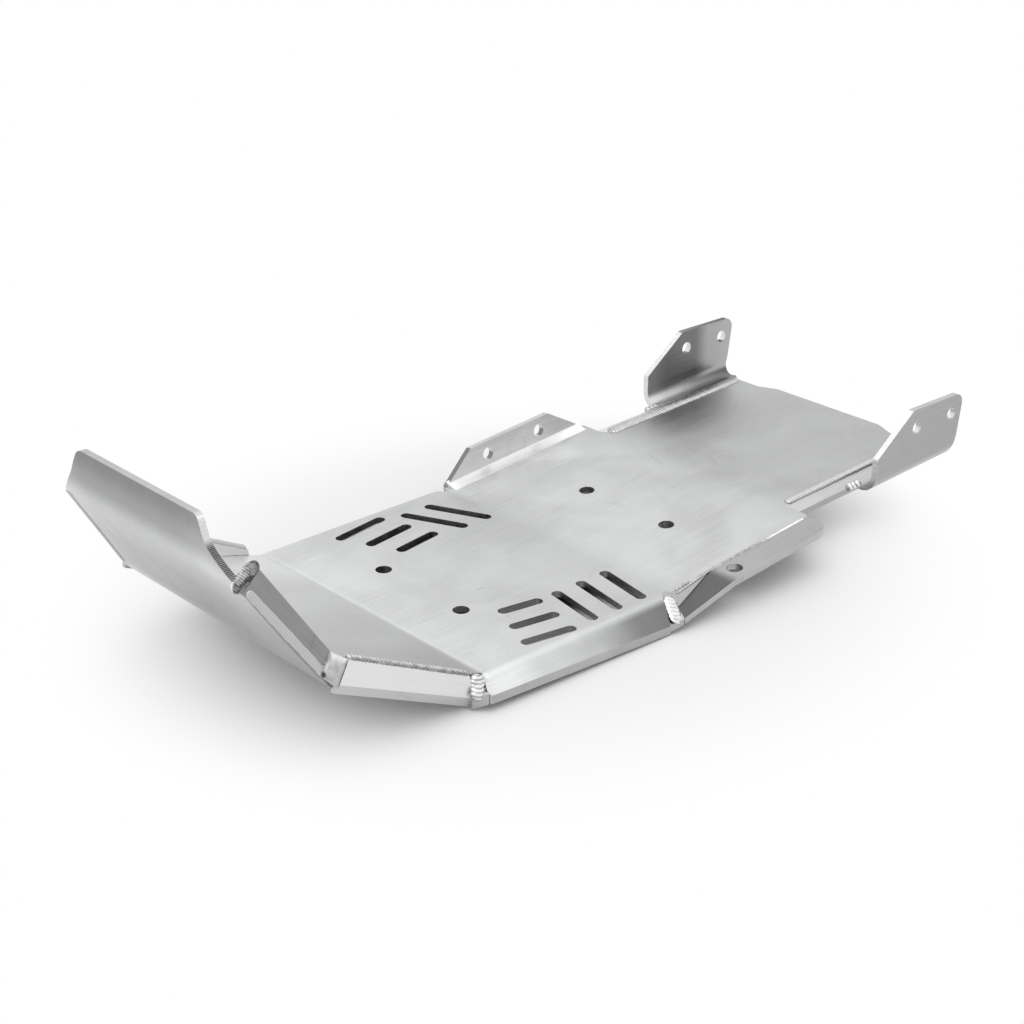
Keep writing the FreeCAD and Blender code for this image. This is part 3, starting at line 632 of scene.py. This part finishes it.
def sheet_painted_light(tree, place, look):
    """Painted light and shade on the folded sheet, part by part from the tail to the lip."""
    x, y, z = split_xyz(tree, place)
    _, look_y, look_z = split_xyz(tree, look)
    across, sideways = size_of(tree, y), size_of(tree, look_y)
    # painted light and shade: the ramp is lighter on its far side, the step beside the tab too, and
    # a spot on the tail is darker
    on_step = times(tree, rise(tree, x, *STEP_FRONT), rise(tree, x, *STEP_REAR))
    level = times(
        tree, profile(tree, x, SHEET_ALONG), cloud(tree, place, *TAIL_PAINTED_SHADE),
        blend(tree, rise(tree, x, *ON_RAMP), 1.0, profile(tree, y, RAMP_ACROSS)),
        blend(tree, on_step, 1.0, profile(tree, y, STEP_ACROSS)))
    # painted reflection and shade on the nose by height and across it, and a painted tone on the
    # lip's upward-facing rim
    nose = times(tree, profile(tree, z, NOSE_UP), profile(tree, y, NOSE_ACROSS))
    level = blend(tree, rise(tree, x, *ON_NOSE), level, nose)
    rim = times(tree, rise(tree, look_z, *RIM_FACING), rise(tree, z, *RIM_UP))
    level = blend(tree, rim, level, RIM_TONE)
    # painted reflection: the skirts run from bright in front to dull behind, and their lower edge
    # is painted darker
    skirt = times(tree, rise(tree, across, *SKIRT_SIDE), rise(tree, z, *SKIRT_DOWN))
    level = blend(tree, skirt, level, profile(tree, x, SKIRT_ALONG))
    lower_edge = times(tree, skirt, rise(tree, look_z, *LOWER_EDGE_FACING))
    level = blend(tree, lower_edge, level, LOWER_EDGE_TONE)
    # cut edges look sideways, the nose's own at a lower slant; up the edge their tone is painted
    # light and shade
    edge = blend(
        tree, rise(tree, z, *NOSE_EDGE_UP), rise(tree, sideways, *EDGE_FACING),
        rise(tree, sideways, *NOSE_EDGE_FACING))
    level = blend(tree, edge, level, profile(tree, z, EDGE_UP))
    # saw marks show on the nose's edge only
    bands = times(
        tree, group_value(tree, "Cut edge", place), edge, rise(tree, z, *SAW_MARKS))
    return maths(tree, "ADD", level, bands)


def strip_painted_light(tree, _, look):
    """The ground lower edge of a strip and its front end are painted darker than its face: painted
    shade by facing.
    """
    look_x, _, look_z = split_xyz(tree, look)
    return times(
        tree, rise(tree, look_z, *STRIP_LOWER_EDGE), rise(tree, look_x, *STRIP_FRONT_END))


def bracket_painted_light(tree, place, look):
    """Painted light and shade on the brackets: light front edges, the right one dark in front and
    at its bend.
    """
    x, y, z = split_xyz(tree, place)
    look_x, look_y, look_z = split_xyz(tree, look)
    upright = rise(tree, size_of(tree, look_y), *UPRIGHT_FACING)
    left = rise(tree, y, *LEFT_HALF)
    far_bend = times(tree, profile(tree, x, FAR_BEND_ALONG), profile(tree, z, FAR_BEND_UP))
    # ribs from bending, across the bend
    turned = add_node(
        tree, "ShaderNodeMapping", {"Vector": place, "Rotation": (0.0, math.pi / 2, 0.0)})
    ribs = group_value(tree, "Cut edge", turned.outputs["Vector"], Scale=230.0)
    far_bend = maths(tree, "ADD", far_bend, times(tree, ribs, 0.1))
    bend = blend(tree, left, far_bend, profile(tree, look_z, NEAR_BEND_FACING))
    flat = blend(tree, left, profile(tree, x, FAR_BRACKET_ALONG), NEAR_BRACKET_TONE)
    level = blend(tree, upright, bend, flat)
    return blend(tree, rise(tree, look_x, *FRONT_FACING), level, FRONT_EDGE_TONE)


def tab_painted_light(tree, _, look):
    """Painted light and shade by facing: the tab's faces are light, its top edge is a bit duller
    and its slanted edges are dark.
    """
    look_x, _, look_z = split_xyz(tree, look)
    level = rise(tree, look_z, *TAB_TOP_EDGE)
    slanted = times(
        tree, rise(tree, size_of(tree, look_x), *SLANTED_FACING), rise(tree, look_z, *SLANTED_UP))
    return blend(tree, slanted, level, SLANTED_EDGE_TONE)


def ledge_painted_light(tree, place, look):
    """Painted light and shade by facing: the ledge's drop is much duller than its flat run, and its
    edges are brighter.
    """
    x, _, _ = split_xyz(tree, place)
    _, _, look_z = split_xyz(tree, look)
    return blend(tree, rise(tree, look_z, *DROP_FACING), rise(tree, x, *LEDGE_BEND), 1.0)


def weld_material(name, bright, dull, roughness):
    """Weld bead: bright crests and duller valleys, from the ripple level on the mesh, which on some
    beads also holds painted light and shade.
    """
    tree, shader, place = new_metal(name)
    ripple = add_node(tree, "ShaderNodeAttribute", attribute_name="ripple")
    smudge = group_value(tree, "Mill smudges", place, Scale=220.0)
    level = maths(
        tree, "ADD", ripple.outputs["Fac"], rise(tree, smudge, 0.0, 1.0, -0.2, 0.2))
    mix = add_node(
        tree, "ShaderNodeMix", {"Factor": level, 6: (*dull, 1.0), 7: (*bright, 1.0)},
        data_type="RGBA", blend_type="MIX")
    feed(tree, shader.inputs["Base Color"], mix.outputs[2])
    gloss = rise(tree, smudge, 0.0, 1.0, roughness - 0.06, roughness + 0.1)
    feed(tree, shader.inputs["Roughness"], gloss)
    add_bump(tree, shader, smudge, 0.12, 0.0002)


def finish_node(node, finish):
    """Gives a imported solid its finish."""
    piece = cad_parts[node]
    material = bpy.data.materials[finish]
    for place in piece.material_slots:
        place.material = material
    if not piece.material_slots:
        piece.data.materials.append(material)


# ---- Settings ----------------------------------------------------------------------------


def colour_setting(name, description, default):
    """Colour with three parts from 0 to 1."""
    return FloatVectorProperty(
        name=name, description=description, subtype="COLOR", size=3, min=0.0, max=1.0,
        default=default)


def length_setting(name, description, default):
    """Length in metres."""
    return FloatProperty(
        name=name, description=description, default=default, min=0.0, unit="LENGTH")


class SkidFinish(PropertyGroup):
    """Colours and roughness of the bare aluminium; the strip, cheek and bracket colours also hold
    painted sheen and shade.
    """

    plate_colour: colour_setting(
        "Plate colour", "Colour of the folded sheet", (0.64, 0.645, 0.65))
    # lighter than the sheet: a painted sheen for the strips' brighter reflection
    strip_painted_sheen_colour: colour_setting(
        "Strip colour", "Colour of the strips beside the ramp", (0.80, 0.80, 0.80))
    # much darker than the sheet: painted shade for the cheek's dark reflection
    cheek_painted_shade_colour: colour_setting(
        "Cheek colour", "Colour of the brushed cheeks", (0.30, 0.30, 0.30))
    # darker than the sheet: painted shade for the darker reflection of upright faces
    bracket_painted_shade_colour: colour_setting(
        "Bracket colour", "Colour of the brackets and tab", (0.52, 0.52, 0.52))
    fillet_colour: colour_setting(
        "Fillet colour", "Colour of the ground fillet at the tab's foot", (0.80, 0.80, 0.80))
    weld_bright: colour_setting(
        "Weld crests", "Colour of a weld's crests", (0.70, 0.70, 0.70))
    weld_dull: colour_setting(
        "Weld valleys", "Colour between a weld's ripples", (0.33, 0.33, 0.33))
    edge_width: length_setting(
        "Edge width", "Width of the rounding on the plates' edges", 0.0005)
    roughness: FloatProperty(
        name="Roughness", description="Roughness of the brushed faces", min=0.05, max=1.0,
        subtype="FACTOR", default=0.34,
    )


class SkidWelds(PropertyGroup):
    """Sizes of the weld beads."""

    strip_width: length_setting(
        "Strip bead width", "Width of the beads on the ramp strips", 0.0054)
    strip_height: length_setting(
        "Strip bead height", "Height of the beads on the ramp strips", 0.0018)
    strip_pitch: length_setting(
        "Strip ripple pitch", "Distance between the strip bead's ripples", 0.0025)
    seam_pitch: length_setting(
        "Seam ripple pitch", "Distance between the cheek seam's ripples", 0.0017)
    cap_radius: length_setting(
        "Cap radius", "Radius of the thick weld on top of a cheek", 0.0042)
    cap_pitch: length_setting(
        "Cap ripple pitch", "Distance between the cap weld's rings", 0.0013)
    fold_pitch: length_setting(
        "Fold ripple pitch", "Distance between the fold weld's rings", 0.0023)
    tail_pitch: length_setting(
        "Tail ripple pitch", "Distance between the tail bead's ripples", 0.0021)


class SkidStage(PropertyGroup):
    """Camera and light."""

    lens: FloatProperty(
        name="Lens", description="Focal length in millimetres", default=70.07, min=1.0,
    )
    floor_colour: colour_setting(
        "Floor colour", "Colour of the studio floor", (0.95, 0.95, 0.95))
    world_light: FloatProperty(
        name="World light", description="Strength of the even light", default=0.62, min=0.0,
    )


# ---- Operators ---------------------------------------------------------------------------


class SKID_OT_finishes(Operator):
    """Builds the shared shader groups and the materials"""

    bl_idname = "skid.finishes"
    bl_label = "Finishes"

    def execute(self, context):
        for group in (grain_group, cloud_group, scratch_group, cut_group):
            group()
        look = context.scene.skid_finish
        # name, colour, turn, stretch and depth of the streaks, depth of the smudges, painted light
        # and shade
        for name, colour, grain, smudges, shade in (
                ("sheet", look.plate_colour, (0.0, (9.0, 520.0, 9.0), 0.03), 0.05, sheet_painted_light),
                ("strip", look.strip_painted_sheen_colour, (0.46, (14.0, 60.0, 700.0), 0.025), 0.02,
                 strip_painted_light),
                ("cheek", look.cheek_painted_shade_colour, (1.0, (14.0, 60.0, 800.0), 0.07), 0.04, None),
                ("bracket", look.bracket_painted_shade_colour, (-0.05, (12.0, 90.0, 650.0), 0.05), 0.04,
                 bracket_painted_light),
                ("tab", look.bracket_painted_shade_colour, (-0.05, (12.0, 90.0, 650.0), 0.04), 0.03, tab_painted_light),
                ("ledge", look.bracket_painted_shade_colour, (0.0, (12.0, 520.0, 12.0), 0.05), 0.04,
                 ledge_painted_light),
                ("fillet", look.fillet_colour, (-0.05, (12.0, 90.0, 650.0), 0.01), 0.01, None)):
            brushed_material("Brushed " + name, colour, grain, (look.roughness, smudges), shade)
        bright, dull = np.array(look.weld_bright), np.array(look.weld_dull)
        # name, colours of the crests and valleys, roughness
        for name, crests, valleys, gloss in (
                ("Weld", bright, dull, 0.24),
                ("Soft weld", bright * 0.86, dull, 0.28),
                ("Bright weld", bright * 1.3, dull * 0.7, 0.2),
                ("Plain weld", bright * 0.8, bright * 0.68, 0.3),
                ("Patch weld", bright * 0.74, dull * 0.2, 0.42),
                ("Toothed weld", bright * 1.05, dull * 0.75, 0.3),
                ("Painted reflection weld", bright * 1.25, dull * 0.22, 0.2)):
            weld_material(name, crests, valleys, gloss)
        return {"FINISHED"}


class SKID_OT_plates(Operator):
    """Finishes the folded sheet, strips, cheeks, brackets and tab"""

    bl_idname = "skid.plates"
    bl_label = "Plates"

    def execute(self, context):
        edge = context.scene.skid_finish.edge_width
        for node, slot, finish in (
                ("ramp_strip_left", "side_aluminium", "Brushed strip"),
                ("ramp_strip_right", "side_aluminium", "Brushed strip"),
                ("nose_cheek_left", "side_aluminium", "Brushed cheek"),
                # the right cheek takes the strips' lighter finish, so the two cheeks are lit and
                # shaded copies of one aluminium
                ("nose_cheek_right", "side_aluminium", "Brushed strip"),
                ("rear_bracket_left", "bracket_aluminium", "Brushed bracket"),
                ("rear_bracket_right", "bracket_aluminium", "Brushed bracket"),
                ("ledge_bracket_left", "bracket_aluminium", "Brushed ledge"),
                ("mid_tab_right", "bracket_aluminium", "Brushed tab")):
            softened(node, finish, edge)
        finish_node("main_plate", "Brushed sheet")
        finish_node("mid_tab_fillet_weld", "Brushed fillet")
        return {"FINISHED"}


class SKID_OT_strip_beads(Operator):
    """Rippled beads on top of the strips beside the ramp"""

    bl_idname = "skid.strip_beads"
    bl_label = "Strip beads"

    def execute(self, context):
        size = context.scene.skid_welds
        inward = np.array([0.0, -STRIP_GAUGE / 2, 0.0])
        for seed, side in enumerate(SIDES):
            rear_lift, front_lift = STRIP_LIFT[side]
            start = np.array(STRIP_REAR_TOP) + inward + UP * rear_lift
            end = np.array(STRIP_FRONT_TOP) + inward + UP * front_lift
            up = unit(np.cross(LEFT, end - start))
            up = up * math.copysign(1.0, up[2])
            grid, ripple = bead_grid(
                mirrored([start, end], side), up, size.strip_width, size.strip_height,
                size.strip_pitch, depth=STRIP_DEPTH[side], bow=0.35, sink=0.0008, seed=seed)
            # teeth show on its top, which is painted lighter, and its outer flank is painted
            # darker; the far one is ground smooth
            level = ripple ** 2 * np.interp(turns_round(ripple.shape[1]), *STRIP_PAINTED_LIGHT_TURNS)
            if side == "right":
                level = np.full_like(ripple, 0.5)
            name = "strip_bead_" + side
            shell_object("rippled_" + name, grid, name, STRIP_FINISH[side], level)
        return {"FINISHED"}


class SKID_OT_seam_beads(Operator):
    """Flat rippled beads between the cheeks and the nose"""

    bl_idname = "skid.seam_beads"
    bl_label = "Cheek seam beads"

    def execute(self, context):
        size = context.scene.skid_welds
        for seed, side in enumerate(SIDES, start=2):
            foot, top, _, _, seam, outward = cheek_frame(side)
            behind = np.cross(seam, outward)
            behind = behind * -math.copysign(1.0, behind[0]) * SEAM_SETBACK
            low, high = SEAM_ENDS
            ends = [foot + seam * low + behind, top - seam * high + behind]
            grid, ripple = bead_grid(
                mirrored(ends, side), mirrored(outward, side), *SEAM_SECTION, size.seam_pitch,
                depth=0.05, bow=0.3, sink=0.0004, seed=seed)
            name = "cheek_seam_bead_" + side
            shell_object("rippled_" + name, grid, name, "Plain weld", ripple)
        return {"FINISHED"}


class SKID_OT_cap_welds(Operator):
    """Thick ringed welds on top of the cheeks"""

    bl_idname = "skid.cap_welds"
    bl_label = "Cheek cap welds"

    def execute(self, context):
        size = context.scene.skid_welds
        radius = size.cap_radius
        for seed, side in enumerate(SIDES, start=4):
            _, top, rear_top, _, seam, outward = cheek_frame(side)
            inward = outward * -CAP_INSET[side]
            run = unit(rear_top - top)
            start = top + inward + run * (CAP_START[side] - radius / MM)
            spine = mirrored([start, rear_top + inward + run * CAP_REACH], side)
            grid, ripple = bead_grid(
                spine, mirrored(seam, side), 2 * radius, radius, size.cap_pitch, depth=0.07,
                bow=0.0, sink=radius * 0.8, seed=seed, turns=28)
            # painted reflection: dark on its outer side and a painted highlight on its inner one,
            # with fine rings all along
            level = np.interp(turns_round(ripple.shape[1]), *CAP_PAINTED_LIGHT_TURNS)
            name = "cheek_cap_weld_" + side
            shell_object(
                "ringed_" + name, grid, name, "Painted reflection weld",
                level * (0.75 + 0.25 * ripple) + 0.1 * ripple)
        return {"FINISHED"}


class SKID_OT_corner_patches(Operator):
    """Built-up welds in the corners between the cheeks and the strips"""

    bl_idname = "skid.corner_patches"
    bl_label = "Corner patches"

    def execute(self, context):
        on_cheek, on_strip = (LEFT * inset for inset in PATCH_INSET)
        for seed, side in enumerate(SIDES, start=8):
            foot, _, _, rear_foot, seam, _ = cheek_frame(side)
            low = np.array(STRIP_FRONT_BOTTOM)
            high = np.array(STRIP_FRONT_TOP) + UP * STRIP_LIFT[side][1]
            rake = unit(high - low)
            corners = [
                foot + seam * PATCH_EDGE - on_cheek, low + rake * PATCH_RISE - on_strip,
                high - on_strip, rear_foot + seam * PATCH_EDGE - on_cheek]
            order = corners if side == "right" else [corners[i] for i in (0, 3, 2, 1)]
            grid = pillow_grid(
                mirrored(order, side), mirrored(PATCH_FACING, side), bulge=0.0019, back=0.004,
                seed=seed)
            # the left one has a pit in its corner that is painted dark as shade
            share = np.linspace(0, 1, grid.shape[0])
            over = np.concatenate([share, share[::-1]])
            spot = np.hypot(share[:, None] - PIT_PLACE, over[None, :] - PIT_PLACE)
            level = np.clip((spot - PIT_RADIUS) / PIT_RIM, PIT_PAINTED_SHADE_LEVEL[side], 1.0)
            name = "corner_patch_weld_" + side
            shell_object("built_up_" + name, grid, name, "Patch weld", level)
        return {"FINISHED"}


class SKID_OT_fold_welds(Operator):
    """Upright ringed welds between the strips and the skirts, on a flat foot"""

    bl_idname = "skid.fold_welds"
    bl_label = "Fold corner welds"

    def execute(self, context):
        size = context.scene.skid_welds
        for seed, side in enumerate(SIDES, start=10):
            grid, ripple = bead_grid(
                mirrored(FOLD_SPINE, side) - UP * FOLD_DROP[side], mirrored(FOLD_UP, side),
                *FOLD_SECTION, size.fold_pitch, depth=0.16, bow=0.7, sink=0.004, seed=seed,
                turns=24)
            # painted shade: both flanks are painted dark
            flanks = np.cos(turns_round(ripple.shape[1])) ** 4
            name = "fold_corner_weld_" + side
            shell_object(
                "ringed_" + name, grid, name, "Bright weld", ripple * (1.0 - 0.95 * flanks) + 0.15)
            order = FOLD_FOOT[::-1] if side == "left" else FOLD_FOOT
            foot = block_grid(mirrored(order, side), FOLD_FOOT_HEIGHT, FOLD_FOOT_ROUNDING)
            shell_object("flat_foot_" + name, foot, None, "Plain weld")
        return {"FINISHED"}


class SKID_OT_tail_beads(Operator):
    """Rippled beads between the tail and the rear brackets"""

    bl_idname = "skid.tail_beads"
    bl_label = "Tail beads"

    def execute(self, context):
        size = context.scene.skid_welds
        up = np.array([math.sin(TAIL_ANGLE), 0.0, math.cos(TAIL_ANGLE)])
        ends = [tail_point(distance, TAIL_HALF) for distance in TAIL_BEAD_SPAN]
        for seed, side in enumerate(SIDES, start=12):
            width, finish = TAIL_BEAD[side]
            grid, ripple = bead_grid(
                mirrored(ends, side), up, width, TAIL_HEIGHT, size.tail_pitch, depth=0.3, bow=0.15,
                sink=0.0013, seed=seed)
            name = "tail_bead_" + side
            shell_object("rippled_" + name, grid, name, finish, ripple)
        return {"FINISHED"}


class SKID_OT_tack_welds(Operator):
    """Short bright welds where the rear brackets turn up"""

    bl_idname = "skid.tack_welds"
    bl_label = "Bracket tack welds"

    def execute(self, context):
        for seed, side in enumerate(SIDES, start=14):
            grid, ripple = bead_grid(
                mirrored(TACK_SPINE, side), mirrored(TACK_UP, side), *TACK_SECTION,
                depth=0.5, bow=0.2, sink=0.0026, seed=seed, turns=16)
            name = "bracket_tack_weld_" + side
            shell_object("lumpy_" + name, grid, name, TACK_FINISH[side], ripple)
        return {"FINISHED"}


class SKID_OT_ledge_welds(Operator):
    """Welds at the ledge's foot and along its joint with the step"""

    bl_idname = "skid.ledge_welds"
    bl_label = "Ledge welds"

    def execute(self, context):
        finish_node("ledge_foot_weld", "Plain weld")
        grid, ripple = bead_grid(
            LEDGE_FOOT_SPINE, LEDGE_FOOT_UP, *LEDGE_FOOT_SECTION, depth=0.2, bow=0.5,
            sink=0.001, seed=21, turns=24)
        shell_object("crescent_ledge_foot_bead", grid, None, "Bright weld", ripple * 0.5 + 0.6)
        grid, ripple = bead_grid(
            LEDGE_SIDE_SPINE, LEDGE_SIDE_UP, *LEDGE_SIDE_SECTION, depth=0.05, bow=0.2,
            sink=0.0006, seed=23, turns=12)
        shell_object("slim_ledge_side_bead", grid, None, "Weld", ripple)
        up = (math.sin(STEP_ANGLE), 0.0, math.cos(STEP_ANGLE))
        ends = [step_point(x, STEP_HALF) for x in LEDGE_BEAD_SPAN]
        grid, _ = bead_grid(
            ends, up, *LEDGE_EDGE_SECTION, depth=0.0, bow=0.3, sink=0.0004, seed=22)
        # a painted highlight on its rear third only
        share = np.linspace(0, 1, grid.shape[0])[:, None]
        shell_object(
            "rippled_ledge_edge_bead", grid, "ledge_edge_bead", "Bright weld",
            np.clip((share - 0.6) * 8, 0.32, 1.0))
        return {"FINISHED"}


def area_light(name, place, width, power):
    """Soft square lamp that looks at the middle of the part."""
    lamp = bpy.data.lights.new(name, "AREA")
    lamp.shape = "SQUARE"
    lamp.size = width
    lamp.energy = power
    holder = bpy.data.objects.new(name, lamp)
    holder.location = place
    aim = Vector(LAMP_TARGET) - Vector(place)
    holder.rotation_euler = aim.to_track_quat("-Z", "Y").to_euler()
    bpy.context.scene.collection.objects.link(holder)


def background_rays(tree):
    """1 for rays of the camera, of reflections and of transmission, else 0."""
    path = add_node(tree, "ShaderNodeLightPath").outputs
    seen = maths(tree, "MAXIMUM", path["Is Camera Ray"], path["Is Glossy Ray"])
    return maths(tree, "MAXIMUM", seen, path["Is Transmission Ray"])


def open_floor(tree, shader):
    """White floor for the background rays away from the object; near it the shadow stays, and below
    the deck a painted shadow darkens it.
    """
    place = add_node(tree, "ShaderNodeTexCoord").outputs["Object"]
    away = cloud(tree, place, *WHITE_FLOOR)
    # a painted shadow on the floor below the deck, seen only through its slots and holes
    below = cloud(tree, place, *FLOOR_PAINTED_SHADOW)
    colour = shader.inputs["Base Color"].default_value[:3]
    shaded = add_node(
        tree, "ShaderNodeVectorMath", {0: colour, "Scale": below}, operation="SCALE")
    feed(tree, shader.inputs["Base Color"], shaded.outputs[0])
    glow = add_node(tree, "ShaderNodeEmission")
    mix = add_node(tree, "ShaderNodeMixShader", {
        "Fac": times(tree, background_rays(tree), away, below),
        1: shader.outputs[0], 2: glow.outputs[0]})
    feed(tree, tree.nodes["Material Output"].inputs["Surface"], mix.outputs[0])


class SKID_OT_stage(Operator):
    """Floor, world, lamps and the camera at the photograph's angle"""

    bl_idname = "skid.stage"
    bl_label = "Stage"

    def execute(self, context):
        scene = context.scene
        look = scene.skid_stage
        mesh = bpy.data.meshes.new("floor")
        low = cad_box[0][2] - FLOOR_GAP
        reach = FLOOR_REACH
        corners = [
            (-reach, -reach, low), (reach, -reach, low), (reach, reach, low), (-reach, reach, low)]
        mesh.from_pydata(corners, [], [(0, 1, 2, 3)])
        floor = bpy.data.objects.new("floor", mesh)
        scene.collection.objects.link(floor)
        material = bpy.data.materials.new("Studio floor")
        material.use_nodes = True
        shader = material.node_tree.nodes["Principled BSDF"]
        shader.inputs["Base Color"].default_value = (*look.floor_colour, 1.0)
        shader.inputs["Roughness"].default_value = 0.9
        shader.inputs["Specular IOR Level"].default_value = 0.1
        open_floor(material.node_tree, shader)
        mesh.materials.append(material)
        world = bpy.data.worlds.new("Studio")
        scene.world = world
        world.use_nodes = True
        tree = world.node_tree
        ground = tree.nodes["Background"]
        ground.inputs["Color"].default_value = (1.0, 1.0, 1.0, 1.0)
        feed(tree, ground.inputs["Strength"],
             blend(tree, background_rays(tree), look.world_light, 1.0))
        for name, lamp in LAMPS.items():
            area_light(name, *lamp)
        camera = bpy.data.objects.new("camera", bpy.data.cameras.new("camera"))
        scene.collection.objects.link(camera)
        camera.data.lens = look.lens
        camera.data.sensor_width = SENSOR_WIDTH
        camera.location = CAMERA_PLACE
        ahead = Vector((
            -math.sin(CAMERA_TURN) * math.cos(CAMERA_HEIGHT),
            -math.cos(CAMERA_TURN) * math.cos(CAMERA_HEIGHT),
            -math.sin(CAMERA_HEIGHT),
        ))
        camera.rotation_euler = ahead.to_track_quat("-Z", "Y").to_euler()
        scene.camera = camera
        scene.view_settings.view_transform = "Standard"
        return {"FINISHED"}


STEPS = (
    SKID_OT_finishes,
    SKID_OT_plates,
    SKID_OT_strip_beads,
    SKID_OT_seam_beads,
    SKID_OT_cap_welds,
    SKID_OT_corner_patches,
    SKID_OT_fold_welds,
    SKID_OT_tail_beads,
    SKID_OT_tack_welds,
    SKID_OT_ledge_welds,
    SKID_OT_stage,
)


class SKID_PT_panel(Panel):
    """Lists the skid plate's settings and steps"""

    bl_idname = "SKID_PT_panel"
    bl_label = "Skid plate"
    bl_space_type = "VIEW_3D"
    bl_region_type = "UI"
    bl_category = "Skid plate"

    def draw(self, context):
        scene = context.scene
        for settings in (scene.skid_finish, scene.skid_welds, scene.skid_stage):
            box = self.layout.box()
            for name in settings.__annotations__:
                box.prop(settings, name)
        for step in STEPS:
            self.layout.operator(step.bl_idname)


SETTINGS = {"skid_finish": SkidFinish, "skid_welds": SkidWelds, "skid_stage": SkidStage}


def register():
    """Registers the settings, steps and panel."""
    for name, group in SETTINGS.items():
        bpy.utils.register_class(group)
        setattr(bpy.types.Scene, name, PointerProperty(type=group))
    for step in STEPS:
        bpy.utils.register_class(step)
    bpy.utils.register_class(SKID_PT_panel)


def unregister():
    """Takes them away again."""
    bpy.utils.unregister_class(SKID_PT_panel)
    for step in reversed(STEPS):
        bpy.utils.unregister_class(step)
    for name, group in SETTINGS.items():
        delattr(bpy.types.Scene, name)
        bpy.utils.unregister_class(group)


def main():
    """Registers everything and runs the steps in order."""
    register()
    for step in STEPS:
        family, action = step.bl_idname.split(".")
        getattr(getattr(bpy.ops, family), action)()


if __name__ == "__main__":
    main()
